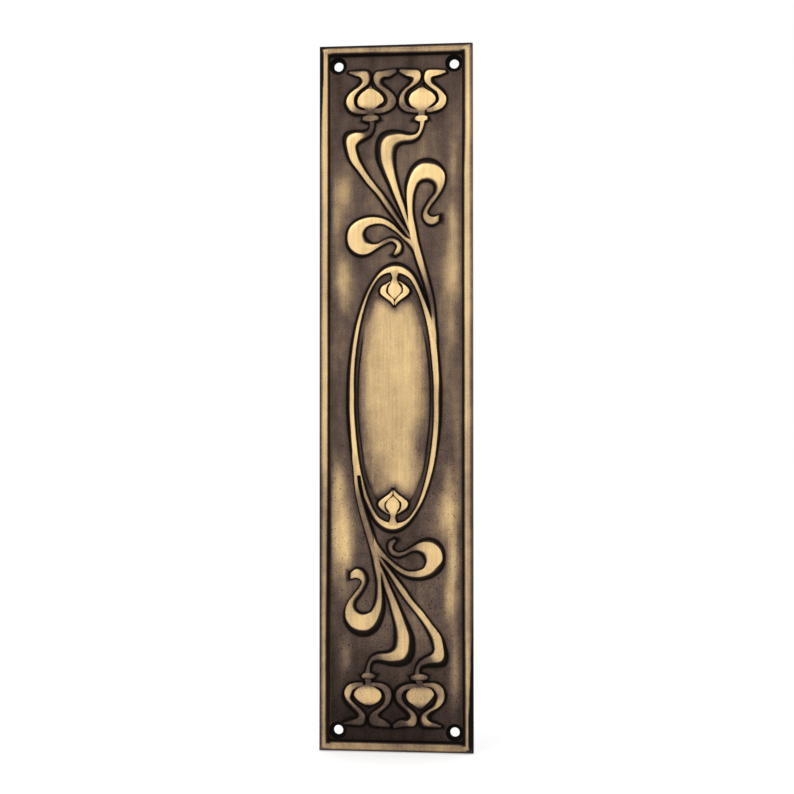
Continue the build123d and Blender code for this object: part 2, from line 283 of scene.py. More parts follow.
strip("right stem", relief_height, """
    7.2 65.9 8.6 66.4
    5.2 70.4 7.0 71.4
    3.3 75.4 5.6 76.2
    1.1 80.2 4.3 81.0
    -1.4 85.5 2.5 86.2
    -3.6 90.5 1.2 91.1
    -6.0 95.5 0.1 96.1
    -8.1 100.5 -0.2 100.7
    -8.6 104.7 -0.0 104.1
    -8.3 108.6 0.7 106.0
    -6.6 111.8 1.9 107.1
    -3.4 113.4 3.4 107.6
    0.6 113.5 5.2 107.7
    4.8 112.5 7.4 108.1
    8.0 112.2 9.8 109.6
    9.5 113.6 11.2 111.9
    10.0 115.8 12.2 115.0
    10.0 117.9 12.8 117.8
""", upper="""
    0 0.6 0.5 6
    2 0.5 0.9 7
    4 1.1 0.9 9
    6 1.8 1.1 9
    7 2.4 1.7 7
    9 2.7 2.0 7
    11 3.4 1.9 7
    12 2.7 1.9 8
    13 2.0 1.4 8
    14 1.2 0.9 8
    16 0.7 0.3 8
    17 0.3 0.3 8
""", lower="""
    0 0.6 0.5 6
    1 0.8 0.6 6
    2 0.5 0.9 5
    5 0.8 1.0 7
    7 1.9 1.8 8
    9 2.9 1.7 9
    11 3.7 1.0 7
    12 3.0 1.0 6
    13 2.1 0.8 3
    14 1.3 0.5 2
    16 0.4 0.5 2
    17 0.3 0.3 2
""")
print(len(strips), "strips so far")

# %% [markdown]
# ### Tulips
#
# Each tulip is a bulb held by two petals. A petal starts under the bulb, swings out round it,
# comes back to the middle line above it and flicks out at the tip. A collar, like a small
# cushion, sits between neck and bulb. The bulbs of the lower end are blunter than those above,
# so they have ladders of their own, drawn as at the upper end before they are turned.

# %% Petals
strip("left tulip, outer petal", relief_height, """
    -11.4 120.4 -11.4 122.5
    -14.5 120.1 -13.9 122.5
    -17.7 120.2 -15.9 123.2
    -20.5 121.8 -17.1 124.4
    -22.1 125.0 -17.5 126.2
    -21.6 128.1 -17.1 128.2
    -19.7 130.7 -15.8 129.9
    -16.8 132.9 -14.1 131.3
    -15.4 134.7 -11.6 133.3
    -15.7 136.0 -10.1 135.9
    -16.6 136.6 -11.3 139.0
    -17.9 137.0 -14.9 139.7
    -20.6 138.2 -20.3 139.2
""", upper="""
    0 0.3 0.3 3
    2 1.0 0.5 3
    3 1.2 0.6 7
    4 1.2 0.6 9
    5 1.3 0.6 9
    6 1.7 0.6 8
    8 1.5 0.4 6
    9 1.0 1.5 6
    10 0.6 1.4 6
    11 0.3 1.8 3
    12 0.3 0.3 2
""", lower="""
    0 0.3 0.3 3
    2 0.3 1.2 5
    3 0.3 1.0 6
    4 0.7 1.5 6
    5 0.8 1.2 7
    6 1.0 1.6 7
    7 1.4 0.9 5
    8 1.7 0.9 5
    9 1.2 2.0 7
    10 0.7 2.4 6
    11 0.5 2.0 3
    12 0.3 0.3 1
""")
strip("left tulip, inner petal", relief_height, """
    -10.3 120.8 -10.3 122.8
    -6.8 120.4 -7.1 123.2
    -3.4 121.2 -5.0 124.0
    -0.7 123.0 -4.0 125.2
    0.4 125.6 -3.7 126.7
    -0.2 128.4 -4.4 128.4
    -2.0 130.7 -5.8 130.0
    -4.2 132.7 -7.7 131.6
    -5.5 134.1 -9.3 133.5
    -5.3 135.2 -10.0 135.9
    -4.1 135.7 -8.8 138.6
    -2.4 136.0 -5.4 139.2
    0.9 138.2 0.5 139.9
""", upper="""
    0 0.3 0.3 2
    2 0.5 0.6 3
    4 0.3 0.4 3
    5 0.8 0.4 3
    7 1.8 0.3 3
    9 1.2 0.8 4
    10 1.3 0.8 4
    11 0.6 0.8 3
    12 0.3 0.3 1
""", lower="""
    0 0.3 0.3 3
    2 0.8 0.6 3
    4 1.6 0.5 2
    6 2.0 0.5 3
    8 1.8 0.3 5
    10 1.6 0.3 5
    11 0.4 0.8 2
    12 0.3 0.3 1
""")
strip("right tulip, inner petal", relief_height, """
    10.7 120.4 10.7 122.4
    7.2 120.4 8.2 122.6
    3.8 121.1 5.9 123.5
    1.4 123.0 4.6 124.9
    0.6 125.5 4.2 126.6
    1.0 128.3 4.5 128.4
    2.5 130.7 5.8 130.3
    4.6 132.6 7.6 131.7
    6.0 134.2 9.8 133.5
    5.6 135.3 11.2 135.9
    4.4 136.0 10.5 138.8
    3.1 136.7 6.6 139.7
    1.1 138.3 1.4 139.8
""", upper="""
    0 0.3 0.3 3
    2 0.6 0.6 3
    3 0.8 0.5 3
    4 1.2 0.6 5
    6 1.6 0.7 5
    8 1.7 0.3 6
    9 2.2 0.6 8
    10 1.0 0.9 7
    11 0.7 1.5 4
    12 0.3 0.5 2
""", lower="""
    0 0.3 0.3 3
    2 0.3 0.8 3
    3 0.4 0.7 2
    6 0.9 0.8 2
    8 1.0 0.5 1
    10 0.3 1.6 1
    11 0.3 1.6 1
    12 0.3 0.6 0
""")
strip("right tulip, outer petal", relief_height, """
    12.9 120.4 12.9 122.5
    16.3 120.5 15.3 123.3
    19.5 121.6 17.1 124.4
    21.5 124.0 17.9 125.8
    22.0 126.8 17.9 127.5
    20.9 129.6 17.1 129.1
    18.9 131.7 15.5 130.5
    17.0 133.3 13.7 132.1
    16.0 134.7 12.0 134.3
    16.4 135.4 11.8 137.1
    17.5 135.7 13.1 139.0
    19.1 136.1 16.9 139.3
    22.2 137.5 21.7 138.7
""", upper="""
    0 0.3 0.3 3
    1 0.6 0.7 5
    2 0.6 0.6 8
    3 0.4 0.8 9
    4 0.6 0.7 9
    5 1.4 0.8 9
    7 1.6 0.3 7
    8 1.1 0.5 8
    9 1.0 1.0 9
    11 0.6 1.0 8
    12 0.4 0.5 5
""", lower="""
    0 0.3 0.3 3
    1 0.3 0.8 4
    2 0.3 0.9 8
    3 0.7 0.6 9
    4 1.6 1.0 8
    5 2.2 0.3 5
    6 1.9 0.3 3
    8 1.4 0.4 2
    9 1.0 1.0 1
    11 1.0 1.4 1
    12 0.5 0.5 0
""")

# %% Bulbs and collars
strip("left bulb", bulb_height, """
    -12.5 119.2 -8.9 119.2
    -12.6 121.2 -8.7 121.2
    -13.4 122.6 -8.2 122.6
    -16.0 123.9 -6.9 123.9
    -17.0 125.9 -4.9 125.7
    -16.5 127.8 -5.0 127.6
    -14.8 129.7 -6.5 129.5
    -12.1 131.4 -9.6 131.4
    -11.3 132.6 -10.1 132.6
    -11.0 133.7 -10.3 133.7
""", upper="""
    0 0.3 0.3 1
    1 0.4 0.4 1
    2 0.5 0.8 3
    3 0.4 0.9 7
    4 0.7 0.5 8
    6 0.7 0.9 8
    7 0.3 0.3 6
    8 0.2 0.2 0
    9 0.2 0.2 0
""")
strip("right bulb", bulb_height, """
    9.6 119.0 12.9 119.0
    9.3 121.0 12.8 121.0
    8.7 122.1 13.6 122.1
    6.2 123.6 15.6 123.5
    4.9 125.6 17.2 125.4
    5.2 127.4 17.5 127.1
    6.6 129.2 16.2 129.0
    9.5 130.9 12.9 130.9
    10.9 132.0 12.0 132.0
    11.4 133.3 12.1 133.3
""", upper="""
    0 0.3 0.3 2
    1 0.3 0.3 3
    2 0.4 0.4 5
    3 0.7 0.9 8
    4 1.0 0.4 9
    6 0.7 0.8 9
    7 0.4 0.4 6
    8 0.3 0.3 0
    9 0.2 0.2 0
""")
strip("lower right bulb", bulb_height, """
    -12.5 119.2 -8.9 119.2
    -12.6 120.9 -9.5 120.9
    -13.6 121.8 -8.0 121.8
    -15.8 122.7 -6.0 122.8
    -17.0 124.1 -5.1 124.2
    -17.3 125.3 -5.0 125.5
    -16.3 126.9 -5.2 127.0
    -14.9 128.5 -6.2 128.5
    -12.7 130.6 -9.4 130.6
    -11.7 131.8 -10.9 131.8
""", lower="""
    0 0.3 0.3 1
    1 0.4 0.3 1
    2 0.8 0.8 2
    3 0.5 1.5 6
    4 0.5 1.0 8
    5 0.4 0.4 8
    7 0.3 0.4 8
    8 0.3 0.3 3
    9 0.2 0.2 0
""")
strip("lower left bulb", bulb_height, """
    9.6 119.0 12.9 119.0
    9.3 120.9 12.2 120.9
    8.9 121.8 14.1 121.8
    6.6 123.0 16.1 123.0
    5.4 124.4 17.2 124.3
    5.0 125.7 17.6 125.6
    5.2 127.0 17.1 126.8
    6.2 128.7 15.6 128.6
    8.0 129.9 13.5 129.9
    9.9 130.6 11.6 130.6
""", lower="""
    0 0.3 0.3 1
    1 0.3 0.3 1
    2 0.6 1.2 2
    3 1.0 1.2 7
    4 0.6 0.9 9
    6 0.4 0.6 9
    7 0.7 1.1 8
    8 1.2 1.5 3
    9 0.3 0.3 0
""")
strip("left collar", relief_height, """
    -14.7 117.6 -14.7 119.2
    -13.1 116.7 -13.1 119.9
    -10.7 116.4 -10.7 120.2
    -8.3 116.9 -8.3 120.0
    -6.7 117.8 -6.7 119.2
""", upper="""
    0 0.5 0.3 1
    1 1.0 0.3 3
    3 1.0 0.3 4
    4 0.5 0.3 2
""", lower="""
    0 0.3 0.8 1
    1 0.3 1.2 4
    2 0.3 1.3 4
    4 0.3 0.8 1
""")
strip("right collar", relief_height, """
    7.8 117.3 7.8 118.8
    9.2 116.5 9.2 119.6
    11.2 116.1 11.2 119.9
    13.1 116.7 13.1 119.6
    14.3 117.7 14.3 118.8
""", upper="""
    0 0.5 0.3 3
    1 0.7 0.6 8
    3 0.7 0.6 9
    4 0.3 0.3 5
""", lower="""
    0 0.3 0.8 1
    2 0.3 1.3 4
    3 0.3 1.2 4
    4 0.3 0.8 2
""")
print(len(strips), "strips so far")

# %% [markdown]
# ### The bud
#
# A small bud hangs from each end of the ring by a short stalk. It has a heart and two petals
# that meet in a tip.

# %% Bud
strip("bud, heart", relief_height, """
    -3.2 54.2 2.4 54.2
    -1.9 51.4 1.2 51.4
    -1.8 49.9 1.0 49.9
    -2.5 48.6 1.5 48.6
    -3.1 47.5 2.1 47.5
    -3.8 46.4 3.0 46.4
    -4.0 45.3 3.3 45.3
    -3.9 44.2 3.0 44.2
    -2.9 43.0 2.0 43.0
    -1.6 41.9 0.5 41.9
    -0.9 40.9 0.0 40.9
""", upper="""
    0 0.4 0.4 7
    2 0.4 0.5 5
    4 0.9 0.9 9
    8 0.9 0.9 9
    9 0.4 0.4 7
    10 0.3 0.3 3
""", lower="""
    0 0.4 0.4 7
    2 0.4 0.5 5
    4 0.9 0.9 9
    7 0.9 0.9 9
    9 0.4 0.4 7
    10 0.3 0.3 3
""")
strip("bud, left petal", relief_height, """
    -1.6 49.6 -1.6 48.4
    -4.1 48.4 -3.0 47.4
    -6.5 46.9 -3.6 46.2
    -7.3 45.0 -3.8 45.1
    -6.8 43.5 -3.6 44.0
    -4.8 41.9 -2.2 42.7
    -3.1 40.7 -1.1 41.7
    -1.6 39.3 -0.6 40.9
    -0.9 38.2 -0.3 38.9
""", upper="""
    0 0.3 0.3 5
    2 0.9 0.3 9
    3 0.9 0.3 9
    5 0.5 0.3 9
    8 0.3 0.3 7
""", lower="""
    0 0.3 0.3 5
    2 0.9 0.3 8
    3 0.6 0.3 9
    5 0.3 0.4 9
    8 0.3 0.3 6
""")
strip("bud, right petal", relief_height, """
    0.9 49.6 0.9 48.5
    3.4 48.4 2.2 47.5
    5.5 46.8 2.8 46.3
    6.6 45.0 2.9 45.1
    6.1 43.5 2.6 44.0
    4.2 42.0 1.3 42.8
    2.4 40.9 0.2 41.7
    0.7 39.5 -0.3 40.9
    -0.2 38.2 -0.6 38.9
""", upper="""
    0 0.3 0.4 5
    2 0.9 0.3 9
    4 0.8 0.3 9
    6 0.5 0.3 9
    8 0.3 0.3 7
""", lower="""
    0 0.3 0.4 3
    2 1.0 0.3 6
    4 1.0 0.3 8
    6 0.6 0.3 9
    8 0.3 0.3 6
""")
print(len(strips), "strips on the plate")

# %% [markdown]
# ### The oval ring
#
# The ring is one more ladder, closed on itself. Its upper half is drawn from the right side over
# the top to the left, measured from the middle of the oval. The lower half is its half turn.
# The outer bank and the polish, with painted shade in it, are noted for every rung, all the way
# round.

# %% Ring
ring_rungs = np.array([
    (20.2, 0.0, 16.8, 0.0),
    (19.9, 10.0, 16.5, 10.0),
    (17.9, 27.1, 14.7, 27.1),
    (14.3, 40.2, 11.6, 40.0),
    (9.5, 51.4, 7.9, 48.6),
    (4.8, 56.1, 4.6, 51.8),
    (0.0, 57.3, 0.0, 52.9),
    (-5.0, 55.2, -4.6, 52.0),
    (-9.4, 49.8, -8.2, 48.2),
    (-13.5, 41.5, -11.6, 40.8),
    (-17.3, 28.6, -14.7, 28.6),
    (-19.6, 13.6, -16.6, 13.6),
])
ring_inner_bank = 0.35
ring_outer_bank = [1.3, 0.9, 0.5, 1.0, 1.3, 1.6, 1.7, 1.6, 1.0, 1.0, 1.1, 1.4,
                   1.5, 1.4, 0.9, 1.0, 1.7, 1.8, 1.7, 1.6, 0.9, 0.5, 0.5, 0.9]
ring_polish_and_shade = [6, 8, 9, 6, 7, 9, 9, 9, 6, 6, 8, 8, 8, 9, 9, 5, 5, 8, 9, 8, 7, 8, 8, 7]

# %% [markdown]
# ## From rungs to a height map
#
# The rungs are joined by a smooth curve through them, a Catmull-Rom spline, and each gap between
# two fine rungs is filled as two triangles on a fine map of the plate. Where two strips cross,
# the taller one wins.

# %% Smoothing the rungs
step_along = 0.45


def smooth(rungs, closed=False):
    """Fill a ladder with rungs on the smooth curve through the drawn ones."""
    if closed:
        around = np.vstack([rungs[-1:], rungs, rungs[:2]])
    else:
        around = np.vstack([rungs[:1], rungs, rungs[-1:]])
    fine = []
    for p, q, r, s in zip(around[:-3], around[1:-2], around[2:-1], around[3:]):
        gap = max(np.hypot(*(r - q)[0:2]), np.hypot(*(r - q)[2:4]))
        steps = max(2, math.ceil(gap / step_along))
        for t in np.arange(steps) / steps:
            fine.append(q + 0.5 * t * (r - p + t * (2 * p - 5 * q + 4 * r - s
                                                    + t * (3 * (q - r) + s - p))))
    fine.append(around[-2])
    return np.array(fine)


print("half the ring:", len(ring_rungs), "rungs become", len(smooth(ring_rungs)))

# %% [markdown]
# The map keeps four things for each spot: the height, how far up its bank the spot is, how well
# the polish reaches it, and the polish. The last two carry painted shade as well.

# %% The map
map_step = 0.05
map_corner = np.array([-half_width, -half_length])
map_shape = (int(2 * half_length / map_step) + 1, int(2 * half_width / map_step) + 1)
no_bank_near = 9
map_height = np.zeros(map_shape, np.float32)
map_climb = np.full(map_shape, no_bank_near, np.float32)
map_reach_and_shade = np.zeros(map_shape, np.float32)
map_polish_and_shade = np.zeros(map_shape, np.float32)
print("map of", map_shape[1], "by", map_shape[0], "spots")

# %% [markdown]
# ### The section of a strip
#
# Across a strip the surface climbs a bank, bows over a low crown and goes down the other bank. A
# narrow strip is lower. A bank starts steep at its foot and eases off at the top, like a quarter
# of a wave. The polish ends sharply at the first bank and fades over the second, which is the
# inner side of the hooks. Both the dark banks and this soft fade are painted shade as well as
# stain.

# %% Section of a strip
least_height, height_share = 0.55, 0.4
crown_share = 0.075
end_bank = 0.6
sharp_limits = (0.7, 1.1)
soft_limits = (0.2, 1.25)


def ease(low, high, value):
    """A soft step from 0 at low to 1 at high."""
    t = np.clip((value - low) / (high - low), 0, 1)
    return t * t * (3 - 2 * t)


def climbed(share):
    """Height of a bank, 0 to 1, at a share of its width."""
    return np.sin(0.5 * math.pi * np.clip(share, 0, 1))


def relief_section(values, tallest, round_ends):
    """Height, climb, reach of the polish and polish at spots of a strip, the last two with painted
    shade.
    """
    from_first, width, first_bank, second_bank, to_tip, from_end, polish_and_shade = values.T
    first = from_first / first_bank
    second = (width - from_first) / second_bank
    climb = np.minimum(first, second)
    reach_and_shade = np.minimum(ease(*sharp_limits, first), ease(*soft_limits, second))
    rise = climbed(first) * climbed(second)
    if round_ends:
        climb = np.minimum(climb, to_tip / end_bank)
        reach_and_shade = np.minimum(reach_and_shade, ease(*sharp_limits, to_tip / end_bank))
        rise = rise * climbed(from_end / end_bank)
    tall = np.minimum(tallest, least_height + height_share * width)
    land = np.maximum(width - first_bank - second_bank, 0.01)
    crown = np.minimum(crown_share * land, 0.5 * tall)
    bow = np.clip((from_first - first_bank) / land, 0, 1)
    height = (tall - crown) * rise + crown * (1 - (2 * bow - 1) ** 2) * rise
    return height, climb, reach_and_shade, polish_and_shade


print("a strip 2 mm wide is", round(least_height + height_share * 2, 2), "mm high")

# %% [markdown]
# ### Painting a strip on the map
#
# Two triangles fill the gap between two rungs. Inside a triangle every value runs evenly from
# corner to corner, so a spot's values are mixed from its shares of the three corners.

# %% Painting one strip
def spots_in_triangle(a, b, c):
    """Spots of the map in a triangle, and how near each is to its second and third corner."""
    area = (b[0] - a[0]) * (c[1] - a[1]) - (c[0] - a[0]) * (b[1] - a[1])
    if abs(area) < 1e-6:
        return None
    lowest = np.floor(np.minimum(np.minimum(a, b), c)).astype(int)
    highest = np.ceil(np.maximum(np.maximum(a, b), c)).astype(int) + 1
    x = np.arange(lowest[0], highest[0]) - a[0]
    z = np.arange(lowest[1], highest[1])[:, None] - a[1]
    share_b = (x * (c[1] - a[1]) - z * (c[0] - a[0])) / area
    share_c = (z * (b[0] - a[0]) - x * (b[1] - a[1])) / area
    inside = (share_b >= -0.01) & (share_c >= -0.01) & (share_b + share_c <= 1.01)
    rows, columns = np.nonzero(inside)
    spot = (rows + lowest[1], columns + lowest[0])
    return spot, share_b[inside][:, None], share_c[inside][:, None]


def paint_strip(fine, tallest, round_ends=True):
    """Paint one smooth ladder on the map, over what is lower and under what is taller."""
    first_feet, second_feet = fine[:, 0:2], fine[:, 2:4]
    width = np.hypot(*(second_feet - first_feet).T)
    centre_line = (first_feet + second_feet) / 2
    along = np.concatenate([[0], np.cumsum(np.hypot(*np.diff(centre_line, axis=0).T))])
    to_tip = along[-1] - along
    shared = [width, fine[:, 4:6], to_tip, np.minimum(along, to_tip), fine[:, 6]]
    first_values = np.column_stack([0 * width, *shared])
    second_values = np.column_stack([width, *shared])

    feet = np.vstack([first_feet, second_feet])
    near = np.maximum(np.floor((feet.min(0) - map_corner) / map_step).astype(int) - 2, 0)
    far = np.ceil((feet.max(0) - map_corner) / map_step).astype(int) + 3
    height, climb, reach_and_shade, shine = np.zeros((4, *(far - near)[::-1]))
    origin = map_corner + near * map_step
    for i in range(len(fine) - 1):
        corners = (first_feet[i], second_feet[i], second_feet[i + 1], first_feet[i + 1])
        values = (first_values[i], second_values[i], second_values[i + 1], first_values[i + 1])
        for pick in ((0, 1, 2), (0, 2, 3)):
            found = spots_in_triangle(*((corners[k] - origin) / map_step for k in pick))
            if found:
                spot, share_b, share_c = found
                mixed = (values[pick[0]] * (1 - share_b - share_c)
                         + values[pick[1]] * share_b + values[pick[2]] * share_c)
                section = relief_section(mixed, tallest, round_ends)
                height[spot], climb[spot], reach_and_shade[spot], shine[spot] = section

    window = (slice(near[1], far[1]), slice(near[0], far[0]))
    taller = height > map_height[window]
    for whole, part in ((map_climb, climb), (map_reach_and_shade, reach_and_shade), (map_polish_and_shade, shine),
                        (map_height, height)):
        whole[window] = np.where(taller, part, whole[window])


trial = spots_in_triangle(*np.array([(0, 0), (20, 0), (0, 20)]))
print("a triangle with sides of 1 mm covers", len(trial[1]), "spots of the map")

# %% [markdown]
# The strips of the lower end are turned half round before they are painted: the buds about the
# middle of the oval, the others about the middle of the flowers.

# %% Painting the strips
painted = []
for (name, end), (tallest, rungs) in strips.items():
    fine = smooth(rungs)
    if end == "lower":
        centre = oval_centre if name.startswith("bud") else flower_centre
        fine[:, 0:4] = 2 * np.tile(centre, 2) - fine[:, 0:4]
    painted.append((tallest, True, fine))

whole_ring = np.vstack([ring_rungs, -ring_rungs]) + np.tile(oval_centre, 2)
inner_banks = np.full(len(whole_ring), ring_inner_bank)
whole_ring = np.column_stack([whole_ring, ring_outer_bank, inner_banks, ring_polish_and_shade])
painted.append((ring_height, False, smooth(whole_ring, closed=True)))
for tallest, round_ends, fine in painted:
    paint_strip(fine, tallest, round_ends)
print("painted", len(painted), "strips, tallest", round(float(map_height.max()), 2), "mm")

# %% [markdown]
# ### The slot at the lower fork
#
# At the lower end a narrow slot with a blunt top parts the trunk from the ring. On the casting it
# is a dark recess down to the ground. It is sunk into the finished map, since it cuts two strips,
# and noted like a rung: height on the plate, middle, and half the width of its floor.

# %% The slot
slot_top, slot_foot = -33.6, -43.8
slot_wall = 0.2
slot_floor = 0.03
slot_stations = np.array([
    (slot_foot, -13.75, 0.35),
    (-40.4, -14.6, 0.60),
    (-37.0, -15.3, 0.64),
    (slot_top, -15.75, 0.60),
])


def slot_at(z):
    """Middle and half width of the slot's floor at a height on the plate."""
    at, middle, half = slot_stations.T
    return np.interp(z, at, middle), np.interp(z, at, half)


row_z = np.arange(map_shape[0]) * map_step - half_length
column_x = np.arange(map_shape[1]) * map_step - half_width
slot_middle, slot_half = slot_at(row_z)
beyond = np.abs(column_x - slot_middle[:, None]) - slot_half[:, None]
left_standing = np.clip(np.maximum(beyond, (row_z - slot_top)[:, None]) / slot_wall, 0, 1)
left_standing[row_z < slot_foot] = 1
sunk = np.maximum(map_height * left_standing, slot_floor)
map_height = np.where(left_standing < 1, sunk, map_height)
map_climb = np.minimum(map_climb, left_standing).astype(np.float32)
map_reach_and_shade = np.minimum(map_reach_and_shade, left_standing).astype(np.float32)
print("slot sunk at", int((left_standing < 1).sum()), "spots of the map")

# %% [markdown]
# ## Panel, rim and screw holes
#
# These have plain forms, so each is a short formula. The panel is part of a wide barrel, trimmed
# to an ellipse. The rim is one moulding that runs round all four sides, so its height depends
# only on how far a spot is from the edge. A countersink is a cone.

# %% Heights of the plain forms
panel_half = np.array([15.4, 47.2])
panel_step = 0.35
panel_rise = 1.3
panel_edge = 0.35
rim_profile = np.array([
    (0.00, 0.62), (0.10, 0.74), (0.30, 0.93), (1.10, 1.63), (1.35, 1.85), (1.65, 2.02),
    (2.55, 2.18), (3.35, 2.03), (3.60, 1.86), (3.85, 1.58), (4.50, 0.42), (4.70, 0.10),
    (4.90, 0.0),
])


def read_map(picture, x, z):
    """Values of a map between its spots."""
    column = np.clip((x + half_width) / map_step, 0, map_shape[1] - 1.001)
    row = np.clip((z + half_length) / map_step, 0, map_shape[0] - 1.001)
    c, r = column.astype(int), row.astype(int)
    u, v = column - c, row - r
    return ((picture[r, c] * (1 - u) + picture[r, c + 1] * u) * (1 - v)
            + (picture[r + 1, c] * (1 - u) + picture[r + 1, c + 1] * u) * v)


def edge_distance(x, z):
    """How far a spot is from the nearest edge of the plate."""
    return np.minimum(half_width - np.abs(x), half_length - np.abs(z))


def panel_place(x, z):
    """How far inside the panel's edge a spot lies, in mm, and its share of the way out."""
    u, v = (x - oval_centre[0]) / panel_half[0], (z - oval_centre[1]) / panel_half[1]
    share = np.hypot(u, v)
    slope = np.hypot(u / panel_half[0], v / panel_half[1]) / np.maximum(share, 1e-6)
    return (1 - share) / np.maximum(slope, 1e-6), share


def surface(x, z):
    """Height of the front of the casting over the flat ground."""
    height = read_map(map_height, x, z)
    inset, share = panel_place(x, z)
    panel = (panel_step + panel_rise * (1 - share ** 2)) * np.clip(inset / panel_edge, 0, 1)
    height = np.maximum(height, np.where(inset > 0, panel, 0))
    height = np.maximum(height, np.interp(edge_distance(x, z), *rim_profile.T))
    for screw_x, screw_z in screw_places:
        radius = np.hypot(x - screw_x, z - screw_z)
        height = np.where(radius < sink_radius + 0.01, radius - sink_radius, height)
    return height


print("panel top", round(float(surface(*oval_centre[:, None])[0]), 2), "mm over the ground")

# %% [markdown]
# ## Where the mesh needs its points
#
# A plain grid fine enough for the edges of the relief would take millions of faces. Instead the
# points are laid where the form turns: along each foot, up each bank, over each top, and in a
# few lines beside each foot for the dark line that the stain leaves there, with its faint painted
# shade. Between them a sparse grid is enough. A Delaunay triangulation then joins whatever points
# it is given, with no crossing edges, which suits a skin that is one height for each spot.

# %% Lines of points round the rim and the holes
points, locked, loops = [], [], {}
rim_lines = (0, 0.1, 0.3, 0.7, 1.1, 1.35, 1.65, 2.1, 2.55,
             3.0, 3.35, 3.6, 3.85, 4.15, 4.5, 4.7, 4.9, 5.2)
sink_lines = (hole_radius, 2.15, 2.8, 3.3, sink_radius, sink_radius + 0.12, sink_radius + 0.35)
points_round_hole = 56


def add_loop(name, loop):
    """Add a closed line of points whose edges the mesh must keep."""
    start = sum(len(p) for p in points)
    ids = np.arange(start, start + len(loop))
    points.append(loop)
    locked.extend(zip(ids, np.roll(ids, -1)))
    loops[name] = ids


def rectangle_loop(inset, across=26, up=120):
    """A rectangle inside the plate's edge, counter-clockwise from its lower left corner."""
    x, z = half_width - inset, half_length - inset
    run_x, run_z = np.linspace(-x, x, across + 1)[:-1], np.linspace(-z, z, up + 1)[:-1]
    return np.vstack([
        np.column_stack([run_x, 0 * run_x - z]),
        np.column_stack([0 * run_z + x, run_z]),
        np.column_stack([-run_x, 0 * run_x + z]),
        np.column_stack([0 * run_z - x, -run_z]),
    ])


def circle_loop(centre, radius):
    """A circle of points, counter-clockwise."""
    turn = np.linspace(0, 2 * math.pi, points_round_hole, endpoint=False)
    return np.column_stack([centre[0] + radius * np.cos(turn), centre[1] + radius * np.sin(turn)])


for inset in rim_lines:
    add_loop(("rim", inset), rectangle_loop(inset))
for place in screw_places:
    for radius in sink_lines:
        add_loop((place, radius), circle_loop(place, radius))
print(len(loops), "locked loops,", sum(len(p) for p in points), "points")

# %% [markdown]
# A bank gets lines of points at shares of its width, more of them where it is wide. A top gets
# as many lines as fit, not quite a millimetre apart.

# %% Points on the strips and beside them
bank_lines = ((1.08, 0.0), (0.5, 0.25), (0.78, 0.6), (0.25, 0.6))
beside_lines = (0.15, 0.35, 0.65, 1.1, 1.7)
top_spacing = 0.9
top_lines_at_most = 13
top_start = 1.1
just_outside = 0.1
on_feet, on_banks, on_tops, beside, exposed = [], [], [], [], []
for tallest, round_ends, fine in painted:
    first_feet, second_feet = fine[:, 0:2], fine[:, 2:4]
    width = np.hypot(*(second_feet - first_feet).T)[:, None]
    way = (second_feet - first_feet) / width
    first_bank, second_bank = fine[:, 4:5], fine[:, 5:6]
    on_feet += [first_feet, second_feet]
    for share, least in bank_lines:
        wide = first_bank[:, 0] >= least
        on_banks.append((first_feet + way * first_bank * share)[wide])
        wide = second_bank[:, 0] >= least
        on_banks.append((second_feet - way * second_bank * share)[wide])
    land = width - top_start * (first_bank + second_bank)
    for count in range(1, top_lines_at_most + 1):
        chosen = np.ceil(land[:, 0] / top_spacing) == count
        for t in np.linspace(0, 1, count + 2)[1:-1]:
            on_tops.append((first_feet + way * (top_start * first_bank + t * land))[chosen])
    for distance in beside_lines:
        beside += [first_feet - way * distance, second_feet + way * distance]
    exposed += [first_feet - way * just_outside, second_feet + way * just_outside]
    if round_ends:
        for tip in (0, -1):
            cap = first_feet[tip] + way[tip] * width[tip] * np.linspace(0.1, 0.9, 9)[:, None]
            on_feet.append(cap)
            exposed.append(cap)
print(len(on_feet), "lines on feet,", len(on_banks), "on banks,", len(on_tops), "on tops")

# %% [markdown]
# The slot has steep walls, so it gets lines of its own along both walls, down its middle and over
# its blunt top. The edge of the panel gets a set of ellipses.

# %% Points in the slot and along the edge of the panel
slot_z = np.linspace(slot_top, slot_foot, 60)
middle, half = slot_at(slot_z)
for side in (-1, 1):
    for out in (0, slot_wall):
        on_feet.append(np.column_stack([middle + side * (half + out), slot_z]))
on_feet.append(np.column_stack([middle, slot_z]))
over_top = middle[0] + np.linspace(-0.75, 0.75, 9)
for up in (0, slot_wall):
    on_feet.append(np.column_stack([over_top, np.full(len(over_top), slot_top + up)]))

panel_lines = (-0.6, -0.3, -0.05, 0.1, 0.35, 0.7, 1.2, 1.9)
turns = np.linspace(0, 2 * math.pi, 420, endpoint=False)
round_turn = np.column_stack([np.cos(turns), np.sin(turns)])
on_panel_lines = [oval_centre + round_turn * (panel_half - inset) for inset in panel_lines]
print(len(panel_lines), "lines along the edge of the panel")

# %% [markdown]
# The dark line of stain and faint painted shade follows the feet that are not covered by another
# strip. These are found by looking up the map just outside each foot, and kept in a tree that
# answers quickly how far any spot is from the nearest one.

# %% The outline of the relief
ground_below = 0.02
outline_below = 0.12
outline = np.vstack(exposed)
outline = outline[read_map(map_height, *outline.T) < outline_below]
near_outline = kdtree.KDTree(len(outline))
for i, spot in enumerate(outline):
    near_outline.insert((*spot, 0), i)
near_outline.balance()


def outline_distance(spots):
    """How far each spot is from the nearest foot of the relief."""
    return np.array([near_outline.find((*spot, 0))[2] for spot in spots])


print(len(outline), "outline points")

# %% [markdown]
# Groups of points are laid one after the other, the most telling first. A later point is left
# out where its small square of the plate already holds one, so nothing crowds.

